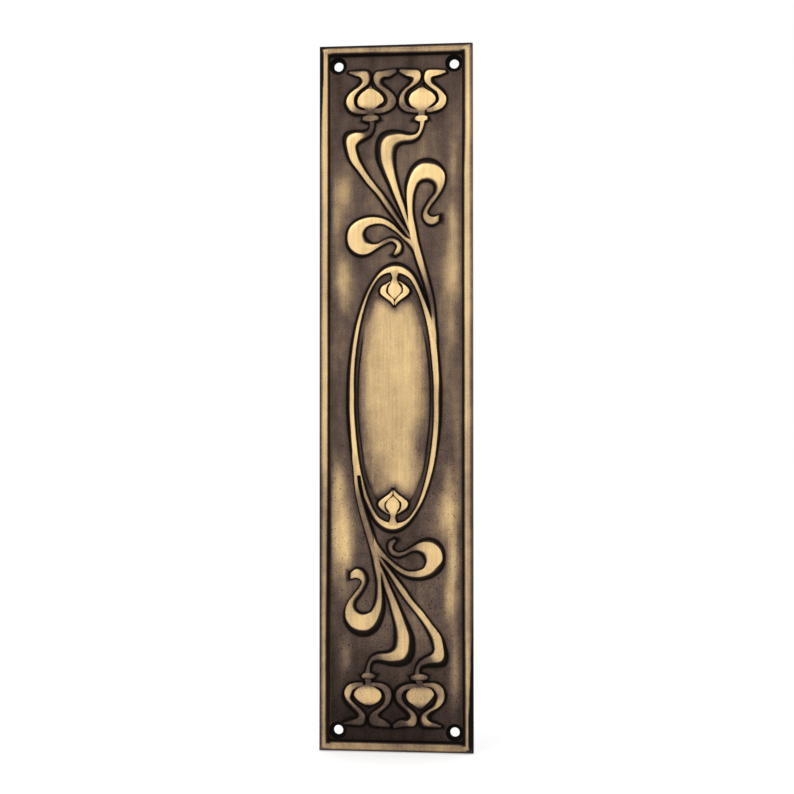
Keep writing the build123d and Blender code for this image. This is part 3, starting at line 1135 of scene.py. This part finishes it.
# %% Helpers for laying points
def thin_out(taken, spots, gap):
    """Leave out spots in a cell that holds a point already, and all but one in each cell."""
    full = set(tuple(c) for c in np.floor(taken / gap).astype(int))
    kept = []
    for spot, cell in zip(spots, np.floor(spots / gap).astype(int)):
        if tuple(cell) not in full:
            full.add(tuple(cell))
            kept.append(spot)
    return np.array(kept).reshape(-1, 2)


def inside_rim(spots, inset):
    """Spots further from the edge than the inset, and clear of the countersinks."""
    x, z = spots.T
    clear = edge_distance(x, z) > inset
    for screw_x, screw_z in screw_places:
        clear &= np.hypot(x - screw_x, z - screw_z) > sink_radius + 0.45
    return spots[clear]


def on_ground(spots):
    """Spots where the map holds no relief."""
    return spots[read_map(map_height, *spots.T) < ground_below]


def hexagon_grid(gap, low, high):
    """Rows of spots, every second row shifted by half a gap."""
    rows = []
    for i, z in enumerate(np.arange(low[1], high[1], gap * 0.866)):
        across = np.arange(low[0] + (i % 2) * gap / 2, high[0], gap)
        rows.append(np.column_stack([across, np.full(len(across), z)]))
    return np.vstack(rows)


grid_gap = 1.4
grid = inside_rim(hexagon_grid(grid_gap, (-27.0, -144.5), (27.0, 144.5)), 5.6)
print("the sparse grid has", len(grid), "points before it makes room for the relief")

# %% Laying all the points
laid = np.vstack(points)
groups = [(on_feet, 0.10), (on_banks, 0.12), (on_tops, 0.3), (on_panel_lines, 0.2), (beside, 0.22)]
for spots, gap in groups:
    fresh = inside_rim(np.vstack(spots), 5.4)
    if spots is beside or spots is on_panel_lines:
        fresh = on_ground(fresh)
        fresh = fresh[outline_distance(fresh) > just_outside]
    fresh = thin_out(laid, fresh, gap)
    points.append(fresh)
    laid = np.vstack([laid, fresh])
grid = on_ground(grid)
grid = grid[outline_distance(grid) > 1.9]
grid = grid[np.abs(panel_place(*grid.T)[0] - 0.6) > 1.8]
points.append(grid)
front_spots = np.vstack(points)
print(len(front_spots), "points for the front")

# %% [markdown]
# ## The front, the back and the walls between them
#
# The back of such a casting is hollowed a little to save metal, with a flat land round the edge
# and a boss behind each screw. It is joined to the front along the plate's edge and round each
# hole, so the whole is one closed skin with nothing loose.

# %% Triangles of the front
def outside_holes(centres):
    """Which triangles lie outside the holes, the flattest slivers in a hole counted as inside."""
    clear = np.ones(len(centres), bool)
    for screw_x, screw_z in screw_places:
        radius = np.hypot(centres[:, 0] - screw_x, centres[:, 1] - screw_z)
        clear &= radius > hole_radius * 0.998
    return clear


def triangulate(spots, kept_edges):
    """Join spots to triangles that leave the holes open, all counter-clockwise."""
    flat, _, faces, origins = delaunay_2d_cdt(
        [Vector(p) for p in spots], [(int(a), int(b)) for a, b in kept_edges], [], 0, 1e-6)[0:4]
    flat = np.array([tuple(p) for p in flat])
    faces = np.array([tuple(f) for f in faces])
    faces = faces[outside_holes(flat[faces].mean(1))]
    first, second, third = (flat[faces[:, k]] for k in range(3))
    clockwise = np.cross(second - first, third - first) < 0
    faces[clockwise] = faces[clockwise][:, ::-1]
    return flat, faces, origins


flat, front_faces, origins = triangulate(front_spots, locked)
place_of = {k: i for i, ids in enumerate(origins) for k in ids}
front = np.column_stack([flat[:, 0], -(ground + surface(*flat.T)), flat[:, 1]])
print(len(front), "points and", len(front_faces), "triangles on the front")

# %% Triangles of the back
back_land = 5.0
hollow_depth = 1.0
boss_radius = sink_radius + 2.5
wall_draft = 0.15


def hollow_outline(shrink):
    """Outline of the hollow: a rectangle with a bite round each screw's boss."""
    x, z = half_width - back_land - shrink, half_length - back_land - shrink
    radius = boss_radius + shrink
    screw_x, screw_z = screw_places[-1]
    start = math.atan2(-math.sqrt(radius ** 2 - (x - screw_x) ** 2), x - screw_x)
    stop = math.atan2(z - screw_z, -math.sqrt(radius ** 2 - (z - screw_z) ** 2)) - 2 * math.pi
    arc = np.linspace(start, stop, 25)
    bite = np.column_stack([screw_x + radius * np.cos(arc), screw_z + radius * np.sin(arc)])
    return np.vstack([bite, (bite * [-1, 1])[::-1], bite * [-1, -1], (bite * [1, -1])[::-1]])


back_rings = [("edge", rectangle_loop(0), 0.0)]
back_rings += [(place, circle_loop(place, hole_radius), 0.0) for place in screw_places]
back_rings += [("hollow", hollow_outline(0), 0.0),
               ("floor", hollow_outline(wall_draft), -hollow_depth)]
back_points, back_locked, back_loops = [], [], {}
for name, loop, y in back_rings:
    start = sum(len(p) for p in back_points)
    ids = np.arange(start, start + len(loop))
    back_points.append(np.column_stack([loop[:, 0], np.full(len(loop), y), loop[:, 1]]))
    back_locked += zip(ids, np.roll(ids, -1))
    back_loops[name] = ids
back = np.vstack(back_points)
back_faces = triangulate(back[:, [0, 2]], back_locked)[1][:, ::-1]
print(len(back), "points and", len(back_faces), "triangles on the back")

# %% [markdown]
# The walls are rings of four-sided faces. The edges between wall and face stay sharp in the
# shading, and so do those of the countersinks and of the hollow.

# %% One closed skin
offset = len(front)
skin_faces = [tuple(int(i) for i in f) for f in front_faces]
skin_faces += [tuple(int(i) + offset for i in f) for f in back_faces]
sharp_pairs = set()


def front_ring(name):
    """Points of a locked loop of the front, by their numbers in the skin."""
    return [place_of[int(i)] for i in loops[name]]


def back_ring(name):
    """Points of a loop of the back, by their numbers in the skin."""
    return [int(i) + offset for i in back_loops[name]]


def keep_sharp(ring):
    """Note the edges of a ring as sharp."""
    sharp_pairs.update(frozenset(pair) for pair in zip(ring, ring[1:] + ring[:1]))


def join(front_ids, back_ids, outward):
    """Close the gap between a ring of the front and the same ring of the back."""
    next_front, next_back = front_ids[1:] + front_ids[:1], back_ids[1:] + back_ids[:1]
    for wall in zip(front_ids, back_ids, next_back, next_front):
        skin_faces.append(wall if outward else wall[::-1])
    keep_sharp(front_ids)
    keep_sharp(back_ids)


join(front_ring(("rim", 0)), back_ring("edge"), True)
for place in screw_places:
    join(front_ring((place, hole_radius)), back_ring(place), False)
    keep_sharp(front_ring((place, sink_radius)))
for name in ("hollow", "floor"):
    keep_sharp(back_ring(name))
print(len(skin_faces), "faces,", len(sharp_pairs), "sharp edges")

# %% [markdown]
# The skin goes to Blender in metres. It rides on the plate's body and takes the place of its
# solid.
# A closed skin has no edge that is shared by one face or by three.

# %% The plate
skin = np.vstack([front, back]) * 0.001
mesh = bpy.data.meshes.new("finger_plate")
mesh.from_pydata(skin.tolist(), [], skin_faces)
mesh.update()
mesh.shade_smooth()
sharp = [frozenset(e.vertices) in sharp_pairs for e in mesh.edges]
mesh.attributes.new("sharp_edge", "BOOLEAN", "EDGE").data.foreach_set("value", sharp)
plate = bpy.data.objects.new("finger_plate", mesh)
bpy.context.scene.collection.objects.link(plate)
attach(plate, "root")
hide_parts("door_plate")

uses = np.zeros(len(mesh.edges), int)
loop_edges = np.zeros(len(mesh.loops), int)
mesh.loops.foreach_get("edge_index", loop_edges)
np.add.at(uses, loop_edges, 1)
mesh.calc_loop_triangles()
open_edges = int((uses != 2).sum())
print(len(mesh.loop_triangles), "triangles,", open_edges, "edges not shared by two faces")

# %% [markdown]
# ## How far the polish got through the stain, and painted shade
#
# The look of the plate is mostly one story: it was stained nearly black, and then cloth and hands
# took the stain off again wherever they could reach. So each point gets one number, from 0 for
# stain that nothing has touched to 1 for bare gold. It is worked out from the form: low in a
# corner, high on a crown, in between on the ground, which is only brushed in passing. The same
# number also
# holds painted light: shade on the banks, on the curve of the panel and round the buds, a
# highlight and shade on the rim, and gold and rim that darken towards the lower end. An image of
# dirt could be used, but it would not know where the corners are.

# %% Stain and painted shade on the strips
def nearest(picture, x, z):
    """Values of a map at the spots nearest to the given ones."""
    column = np.clip(np.rint((x + half_width) / map_step), 0, map_shape[1] - 1).astype(int)
    row = np.clip(np.rint((z + half_length) / map_step), 0, map_shape[0] - 1).astype(int)
    return picture[row, column]


x, z = flat.T
on_relief = nearest(map_height, x, z) > ground_below
foot_end = ease(-88, -104, z)
# painted shade as well as stain: a bank is darkest at its foot and lighter as it climbs
bank_stain_and_shade = (0.15 - 0.07 * foot_end) * ease(0.1, 0.6, nearest(map_climb, x, z))
# painted shade: the gold of the strips darkens towards the lower end, and a little at the top end
painted_shade_by_height = 0.12 * ease(50, -60, z) + 0.13 * ease(-35, -85, z) + 0.06 * ease(-100, -118, z)
painted_shade_by_height += 0.05 * ease(55, 75, z)
polish_and_shade = nearest(map_polish_and_shade, x, z) / 9 * (1 - painted_shade_by_height)
# how far the polish reaches, with painted shade fading softly over the second bank
reached_with_shade = nearest(map_reach_and_shade, x, z) ** 1.5
strip_tone = 0.05 + bank_stain_and_shade + (0.10 + 0.08 * foot_end + 0.67 * polish_and_shade) * reached_with_shade
print("stain on", int(on_relief.sum()), "points of the relief")

# %% [markdown]
# The ground is an even brown. Hands have rubbed it in soft patches along both sides, and it
# darkens towards both ends. A patch is noted by its middle across and up, how far it spreads
# across and up, and its strength.

# %% Stain on the ground
rubs = [
    (-23.0, 88, 3.5, 7, 0.85), (-26.0, 76, 2.2, 8, 0.6), (-22.8, 51, 3.6, 9, 1.2),
    (-22.0, 40, 2.5, 6, 0.5), (24.3, 98, 1.6, 8, 0.6), (24.5, 73, 2.3, 11, 0.9),
    (23.8, 52, 3.2, 12, 1.25), (24.0, 30, 1.8, 8, 0.5), (-24.5, -36, 3.4, 10, 1.0),
    (-24.0, -58, 4.8, 16, 1.5), (-20.8, -66, 2.2, 9, 0.7), (-23.0, -81, 1.8, 5, 0.25),
    (-23.0, -12, 1.4, 12, 0.2), (-21.5, -110, 2.2, 8, 0.9), (22.2, -49, 4.4, 10, 1.5),
    (22.5, -34, 2.5, 9, 0.5), (24.2, -68, 2.0, 10, 1.25), (23.0, -85, 2.8, 10, 1.15),
    (25.0, -115, 1.8, 16, 0.75), (26.6, -20, 1.8, 20, 0.3),
]
rub_depth = 0.26


def patches(noted, depth):
    """Tone that soft patches add to the plate, or take off it."""
    return sum(depth * strength * np.exp(-((x - at_x) / across) ** 2 - ((z - at_z) / up) ** 2)
               for at_x, at_z, across, up, strength in noted)


aside = np.abs(x)
ground_tone = 0.42 + 0.03 * ease(5, 25, x) * ease(-30, 10, z)
ground_tone -= 0.07 * ease(105, 140, z) + 0.05 * ease(-90, -140, z) + 0.06 * ease(-122, -136, z)
ground_tone -= 0.03 * ease(20, -60, z) + 0.06 * ease(-75, -110, z) * ease(0, -22, x)
ground_tone -= 0.05 * ease(-104, -116, z) * ease(20, 8, aside)
ground_tone += 0.05 * ease(130, 110, z) * ease(50, 75, z) * ease(18, 10, aside)
ground_tone += 0.04 * ease(-85, -98, z) * ease(-120, -108, z) * ease(17, 10, aside)
ground_tone += 0.03 * ease(-110, -95, z) * ease(-60, -75, z)
ground_tone += patches(rubs, rub_depth)
print("ground tone from", round(float(ground_tone.min()), 2), "to",
      round(float(ground_tone.max()), 2))

# %% [markdown]
# The panel is polished most in its middle and darker along its edge, more at the sides than at
# the ends: stain, and painted shade where the dome curves down. The channel between panel and ring
# keeps its stain.

# %% Stain and painted shade on the panel
panel_patches = [(9.2, -20, 3, 12, -0.13), (-4.8, -34, 4.5, 10, -0.12), (-2.8, 31, 1.8, 9, -0.07),
                 (4.2, -26, 3, 14, 0.04)]
across = x - oval_centre[0]
to_bud = np.abs(z - oval_centre[1])
upper_right = ease(0, 8, across) * ease(0, 20, z)
panel_inset = panel_place(x, z)[0] + 0.7 * ease(18, 34, to_bud) * (1 - upper_right)
on_panel = panel_inset > -0.02
# polish and stain, with painted shade where the dome curves down to its edge
panel_stain_and_shade = np.interp(panel_inset, [0, 2.5, 5, 9], [0.48, 0.62, 0.75, 0.83])
panel_stain_and_shade += 0.12 * ease(10, 32, z) * ease(9, 0, panel_inset)
panel_stain_and_shade += 0.16 * ease(-18, -34, z) * ease(6, 0, panel_inset)
panel_stain_and_shade -= 0.02 + 0.03 * ease(30, 0, z) + 0.04 * ease(0, -15, z) * ease(-40, -25, z)
panel_stain_and_shade += patches(panel_patches, 1)
in_channel = (~on_panel) & (np.hypot(across, (z - oval_centre[1]) / 3.05) < 17.5)
channel_tone = 0.36 + 0.14 * ease(18, 32, z) * np.exp(-(panel_inset / 1.1) ** 2)
ground_tone = np.where(in_channel, channel_tone, ground_tone)
print(int(on_panel.sum()), "points on the panel,", int(in_channel.sum()), "in the channel")

# %% [markdown]
# The rim is bright along its crown and dark in the corner beside the ground: polish and stain,
# with a painted highlight on the crown and painted shade on its slopes. Each side is noted as
# tones at distances from the edge, different on each side as the light falls, and wavers a little
# along its length, as hand work does. The long sides get painted shade towards the lower end, and
# the right one a painted highlight near its top.

# %% Stain and painted light on the rim
rim_reach = 5.0
from_edge = edge_distance(x, z)
on_rim = from_edge < rim_reach
upright = half_width - aside < half_length - np.abs(z)
left_side, right_side = upright & (x < 0), upright & (x > 0)
top_side, bottom_side = ~upright & (z > 0), ~upright & (z < 0)
# per side: stain and polish, a painted highlight on the crown and painted shade on the slopes
sides = [
    (left_side, [0, 0.3, 0.6, 1.2, 1.8, 3.0, 3.4, 3.9, 4.1, 4.5, 4.8],
     [0.25, 0.30, 0.36, 0.60, 0.71, 0.80, 0.70, 0.18, 0.08, 0.26, 0.42]),
    (right_side, [0, 0.3, 0.9, 1.5, 2.2, 2.8, 3.2, 3.7, 4.0, 4.4, 4.8],
     [0.42, 0.42, 0.52, 0.72, 0.83, 0.83, 0.66, 0.22, 0.06, 0.20, 0.42]),
    (top_side, [0, 0.5, 0.8, 1.2, 1.6, 2.2, 2.8, 3.1, 3.5, 3.9, 4.4, 4.7, 5.0],
     [0.12, 0.10, 0.20, 0.44, 0.62, 0.66, 0.66, 0.60, 0.30, 0.04, 0.02, 0.16, 0.36]),
    (bottom_side, [0, 0.3, 0.6, 1.0, 1.5, 2.1, 2.9, 3.4, 3.8, 4.1, 4.5, 4.7, 5.0],
     [0.26, 0.30, 0.46, 0.64, 0.69, 0.65, 0.58, 0.56, 0.32, 0.03, 0.03, 0.14, 0.24]),
]
narrower = np.where(left_side, 0.6 * ease(-30, -110, z), 0)
narrower += np.where(right_side, 0.5 * ease(92, 115, z) + 0.25 * ease(-90, -115, z), 0)
narrower += np.where(top_side, 0.35 * ease(10, -20, x) - 0.25, 0)
inward = narrower * ease(1.2, 2.6, from_edge) * ease(4.5, 3.7, from_edge)
unevenness = 0.04
shuffle = np.random.default_rng(7)
rim_tone_with_painted_light = np.zeros(len(flat))
for where, at, tones in sides:
    streak = shuffle.normal(0, 1, len(rim_lines))
    waver = np.sin((x + z) / 17 + shuffle.uniform(0, 6))
    side_tone_with_painted_light = np.interp(from_edge + inward, at, tones)
    side_tone_with_painted_light *= 1 + unevenness * (np.interp(from_edge, rim_lines, streak) + waver)
    rim_tone_with_painted_light = np.where(where, side_tone_with_painted_light, rim_tone_with_painted_light)
# painted shade: the long sides darken towards the lower end; painted highlight near the top of the
# right side
rim_tone_with_painted_light *= np.where(upright, 1.03 - 0.17 * ease(10, -60, z), 0.98)
rim_tone_with_painted_light *= np.where(right_side, 1 + 0.08 * ease(30, 60, z), 1)
print(int(on_rim.sum()), "points on the rim")

# %% [markdown]
# Towards the upper left and the lower right corner the outer edge of the rim goes dark.

# %% Dark corners of the rim
for side, start, corner in ((left_side, 96, 148), (right_side, -90, -148)):
    dark_width = 0.3 + 1.5 * ease(start, corner, z)
    dark = ease(start, start + 0.35 * (corner - start), z)
    dark *= ease(dark_width + 0.25, dark_width, from_edge)
    rim_tone_with_painted_light = np.where(side, rim_tone_with_painted_light * (1 - 0.93 * dark), rim_tone_with_painted_light)
print("rim tone from", round(float(rim_tone_with_painted_light[on_rim].min()), 2), "to",
      round(float(rim_tone_with_painted_light[on_rim].max()), 2))

# %% [markdown]
# Last come the darkest places: the line beside each foot, where no cloth gets in, with a faint
# painted shade spreading wider, the edge of the panel, a painted shadow round the buds, the foot
# of the rim with a faint painted shade on the ground beside it, and the countersinks.

# %% The dark line beside each foot
back_tone = 0.35
sink_tone = 0.01
to_foot = outline_distance(flat)
line = 0.85 * np.exp(-(to_foot / (0.30 + 0.08 * foot_end)) ** 2)
# a faint painted shade spreading wider round the relief
line += 0.12 * np.exp(-(to_foot / 0.9) ** 2)
panel_line = 0.85 - 0.75 * ease(18, 30, z) - 0.2 * ease(-20, -34, z)
line = np.maximum(line, panel_line * np.exp(-((panel_inset + 0.1) / 0.3) ** 2))
# a painted shadow round the buds on the panel
line += np.where(on_panel, 0.38 * ease(28, 36, to_bud) * np.exp(-(to_foot / 2.7) ** 2), 0)
line = np.where(on_rim | on_relief, 0, line)
# a faint painted shade on the ground beside the foot of the rim
line += np.where(on_rim, 0, 0.08 * np.exp(-((from_edge - rim_reach) / 0.7) ** 2))

tone = np.where(on_relief, strip_tone, ground_tone)
tone = np.where(on_panel & (~on_relief), panel_stain_and_shade, tone)
tone = np.where(on_rim, rim_tone_with_painted_light, tone) * (1 - np.clip(line, 0, 0.97))
for screw_x, screw_z in screw_places:
    in_sink = np.hypot(x - screw_x, z - screw_z) < sink_radius + 0.25
    tone = np.where(in_sink, sink_tone, tone)
tone = np.concatenate([np.clip(tone, 0, 1), np.full(len(back), back_tone)])
mesh.attributes.new("polish_and_shade", "FLOAT", "POINT").data.foreach_set("value", tone)
print("tone from", round(float(tone.min()), 2), "to", round(float(tone.max()), 2))

# %% [markdown]
# A second number says how pitted the casting is: the ground of the lower half most of all.

# %% Pitted places
pitted = 0.1 + 0.65 * ease(0, -45, z)
pitted = np.where(on_relief, 0.4 * ease(-80, -110, z), pitted)
pitted = np.where(on_panel | on_rim, 0.05, pitted)
pitted = np.concatenate([pitted, np.zeros(len(back))])
mesh.attributes.new("pitted", "FLOAT", "POINT").data.foreach_set("value", pitted)
print("pitted up to", round(float(pitted.max()), 2))

# %% [markdown]
# ## Brass under old stain, with painted shade
#
# Bare brass is a metal: it takes its colour from what it mirrors. The stain is a thin matt skin
# of brown oxide over it. A ramp turns the number of polish and painted shade into a colour, and
# the same number drives how metallic and how smooth the spot is, so colour and shine always change
# together, in the painted shade as well.

# %% Helpers for the finish
finish = bpy.data.materials.new("stained brass with painted shade")
finish.use_nodes = True
tree = finish.node_tree
shader = tree.nodes["Principled BSDF"]


def colour(red, green, blue):
    """A colour given as it shows on screen, 0 to 255, turned to the linear values of a shader."""
    return tuple(v / 12.92 if v <= 0.04045 else ((v + 0.055) / 1.055) ** 2.4
                 for v in (red / 255, green / 255, blue / 255)) + (1,)


def wire(source, target):
    """Join two sockets of the same tree."""
    source.id_data.links.new(source, target)


def attribute(name):
    """A number that the mesh carries at each point."""
    node = tree.nodes.new("ShaderNodeAttribute")
    node.attribute_name = name
    return node.outputs["Fac"]


def calculate(operation, *values):
    """A Math node on numbers and sockets, clamped nowhere."""
    node = tree.nodes.new("ShaderNodeMath")
    node.operation = operation
    for socket, value in zip(node.inputs, values):
        if isinstance(value, (int, float)):
            socket.default_value = value
        else:
            wire(value, socket)
    return node.outputs[0]


def noise(stretch, scale, detail, seed):
    """Noise over the plate, from -0.5 to 0.5, stretched by three factors along x, y and z."""
    place = tree.nodes.new("ShaderNodeTexCoord").outputs["Object"]
    mapping = tree.nodes.new("ShaderNodeMapping")
    mapping.inputs["Scale"].default_value = stretch
    mapping.inputs["Location"].default_value = (seed, seed * 0.37, seed * 0.71)
    wire(place, mapping.inputs["Vector"])
    node = tree.nodes.new("ShaderNodeTexNoise")
    node.inputs["Scale"].default_value = scale
    node.inputs["Detail"].default_value = detail
    wire(mapping.outputs["Vector"], node.inputs["Vector"])
    return calculate("SUBTRACT", node.outputs["Fac"], 0.5)


def map_range(source, from_low, from_high, to_low, to_high):
    """Turn a range of one number into a range of another, held at both ends."""
    node = tree.nodes.new("ShaderNodeMapRange")
    node.inputs["From Min"].default_value = from_low
    node.inputs["From Max"].default_value = from_high
    node.inputs["To Min"].default_value = to_low
    node.inputs["To Max"].default_value = to_high
    wire(source, node.inputs["Value"])
    return node.outputs["Result"]


print("finish has", len(tree.nodes), "nodes to start from")

# %% [markdown]
# Fine noise shifts the number of polish and painted shade a little before the ramp is read: a
# grain from the sand mould, blotches and long clouds of stain, and streaks of the polishing cloth,
# which ran along the plate. The stain varies most in the middle tones, the streaks show most on
# the gold. The deepest specks of a last noise are the pits.

# %% Grain, streaks and pits
bare_and_lit = attribute("polish_and_shade")
grain = noise((1, 1, 1), 1900, 3, 1)
blotches = noise((1, 1, 1), 240, 3, 2)
clouds = noise((1, 1, 0.3), 110, 2, 6)
streaks = noise((1, 1, 0.04), 1100, 3, 3)
specks = noise((1, 1, 0.8), 1700, 2, 5)
pit_share = attribute("pitted")
grain_share, blotch_share, cloud_share, streak_share = 0.20, 0.12, 0.22, 0.36
speck_threshold, pit_depth = 0.13, -4

stained_and_shaded = calculate("SUBTRACT", 1.15, bare_and_lit)
mid_tone = calculate("MULTIPLY", calculate("MULTIPLY", bare_and_lit, stained_and_shaded), 4)
shift = calculate("MULTIPLY", grain, calculate("MULTIPLY", mid_tone, grain_share))
for texture, share in ((blotches, blotch_share), (clouds, cloud_share)):
    shift = calculate("MULTIPLY_ADD", texture, calculate("MULTIPLY", mid_tone, share), shift)
gold = calculate("MULTIPLY", bare_and_lit, bare_and_lit)
shift = calculate("MULTIPLY_ADD", streaks, calculate("MULTIPLY", gold, streak_share), shift)
deep_specks = calculate("MAXIMUM", calculate("SUBTRACT", specks, speck_threshold), 0)
pits_seen = calculate("MULTIPLY", deep_specks, pit_share)
shift = calculate("MULTIPLY_ADD", pits_seen, pit_depth, shift)
seen = calculate("ADD", bare_and_lit, shift)
print("polish number joined to", len(tree.nodes), "nodes")

# %% The ramp from stain and painted shade to gold
stops = [
    (0.0, colour(9, 7, 5)), (0.15, colour(30, 22, 17)), (0.3, colour(66, 53, 46)),
    (0.42, colour(98, 81, 72)), (0.5, colour(126, 105, 86)), (0.62, colour(168, 142, 107)),
    (0.8, colour(213, 182, 132)), (1.0, colour(250, 216, 154)),
]
ramp = tree.nodes.new("ShaderNodeValToRGB")
while len(ramp.color_ramp.elements) < len(stops):
    ramp.color_ramp.elements.new(0.5)
for element, (position, value) in zip(ramp.color_ramp.elements, stops):
    element.position = position
    element.color = value
wire(seen, ramp.inputs["Fac"])
wire(ramp.outputs["Color"], shader.inputs["Base Color"])
print("ramp of", len(stops), "colours")

# %% [markdown]
# Stain is hardly metallic and rough, gold is metallic and smoother, and painted shade is treated
# like stain. The sand of the mould is felt as a fine bump, strongest where no polish took it down
# and in the painted shade.

# %% Metal, shine and the sand of the mould
wire(map_range(seen, 0.3, 0.75, 0.15, 1.0), shader.inputs["Metallic"])
wire(map_range(seen, 0.2, 0.9, 0.62, 0.36), shader.inputs["Roughness"])
shader.inputs["Specular IOR Level"].default_value = 0.06

sand = noise((1, 1, 1), 2600, 2, 4)
bump = tree.nodes.new("ShaderNodeBump")
bump.inputs["Distance"].default_value = 0.00012
bump.inputs["Strength"].default_value = 0.6
wire(calculate("MULTIPLY", sand, calculate("MAXIMUM", stained_and_shaded, 0.3)), bump.inputs["Height"])
wire(bump.outputs["Normal"], shader.inputs["Normal"])
mesh.materials.append(finish)
print("finish has", len(tree.nodes), "nodes")

# %% [markdown]
# ## The studio
#
# The plate stands upright on a pale floor, as a photographer props up a flat thing. A white
# world lights it from all sides, and two soft lamps above make the upper half a little brighter.
# To the camera, and to the metal that mirrors it, world and floor look plain white. For that a
# Light Path node tells those rays from the light that falls on things.

# %% Floor
floor_half = 6.0
floor_level = -half_length * 0.001 - 0.0003
floor_glow = 0.35


def plain_view(any_tree):
    """1 for what the camera and the metal see, 0 for the light that falls on things."""
    rays = any_tree.nodes.new("ShaderNodeLightPath")
    either = any_tree.nodes.new("ShaderNodeMath")
    either.operation = "MAXIMUM"
    wire(rays.outputs["Is Camera Ray"], either.inputs[0])
    wire(rays.outputs["Is Glossy Ray"], either.inputs[1])
    return either.outputs["Value"]


corners = [(-floor_half, -floor_half), (floor_half, -floor_half),
           (floor_half, floor_half), (-floor_half, floor_half)]
floor_mesh = bpy.data.meshes.new("floor")
floor_mesh.from_pydata([(*corner, floor_level) for corner in corners], [], [(0, 1, 2, 3)])
floor = bpy.data.objects.new("floor", floor_mesh)
bpy.context.scene.collection.objects.link(floor)
floor_finish = bpy.data.materials.new("pale floor")
floor_finish.use_nodes = True
floor_tree = floor_finish.node_tree
floor_sockets = floor_tree.nodes["Principled BSDF"].inputs
floor_sockets["Base Color"].default_value = (0.92, 0.92, 0.92, 1)
floor_sockets["Roughness"].default_value = 1.0
floor_sockets["Specular IOR Level"].default_value = 0.0
floor_sockets["Emission Color"].default_value = (1, 1, 1, 1)
glow = floor_tree.nodes.new("ShaderNodeMath")
glow.operation = "MULTIPLY"
glow.inputs[1].default_value = floor_glow
wire(plain_view(floor_tree), glow.inputs[0])
wire(glow.outputs["Value"], floor_sockets["Emission Strength"])
floor_mesh.materials.append(floor_finish)
print("floor", round(-1000 * floor_level, 1), "mm below the plate's middle")

# %% World and lamps
world = bpy.data.worlds.new("studio")
bpy.context.scene.world = world
world.use_nodes = True
sky = world.node_tree
background = sky.nodes["Background"]
background.inputs["Color"].default_value = (1, 1, 1, 1)
strength = sky.nodes.new("ShaderNodeMapRange")
strength.inputs["To Min"].default_value = 0.75
strength.inputs["To Max"].default_value = 1.0
wire(plain_view(sky), strength.inputs["Value"])
wire(strength.outputs["Result"], background.inputs["Strength"])


def soft_lamp(name, place, aim, size, power):
    """A square area lamp at a place, turned to an aim."""
    light = bpy.data.lights.new(name, "AREA")
    light.size = size
    light.energy = power
    lamp = bpy.data.objects.new(name, light)
    lamp.location = place
    lamp.rotation_euler = (Vector(aim) - Vector(place)).to_track_quat("-Z", "Y").to_euler()
    bpy.context.scene.collection.objects.link(lamp)
    return lamp


lamps = [
    soft_lamp("upper left", (-0.7, -0.9, 0.9), (0, 0, 0), 0.9, 3),
    soft_lamp("upper right", (0.8, -0.7, 0.7), (0, 0, 0.02), 0.7, 1.5),
]
print([f"{lamp.name}: {lamp.data.energy} W" for lamp in lamps])

# %% [markdown]
# ## The camera
#
# The photograph was taken from a little to the right of the plate and very nearly level with its
# middle. The place was worked out from the four corners of the rim and the four screw holes.

# %% Camera
distance_away = 0.700
angle = 0.1213
height_of_eye = -0.01503
turn_left = angle - 0.00018
tilt_up = 0.02132
roll = -0.00031
eye = Vector((distance_away * math.sin(angle), -distance_away * math.cos(angle), height_of_eye))
ahead = Vector((-math.sin(turn_left) * math.cos(tilt_up), math.cos(turn_left) * math.cos(tilt_up),
                math.sin(tilt_up)))
level = ahead.cross(Vector((0, 0, 1))).normalized()
upward = level.cross(ahead)
axes = (level * math.cos(roll) + upward * math.sin(roll),
        upward * math.cos(roll) - level * math.sin(roll), -ahead)
lens = bpy.data.cameras.new("camera")
lens.sensor_width = 36.0
lens.lens = 74.5
camera = bpy.data.objects.new("camera", lens)
camera.matrix_world = Matrix.Translation(eye) @ Matrix(axes).transposed().to_4x4()
bpy.context.scene.collection.objects.link(camera)
bpy.context.scene.camera = camera
bpy.context.scene.view_settings.view_transform = "Standard"
print("camera at", [round(v, 4) for v in eye])
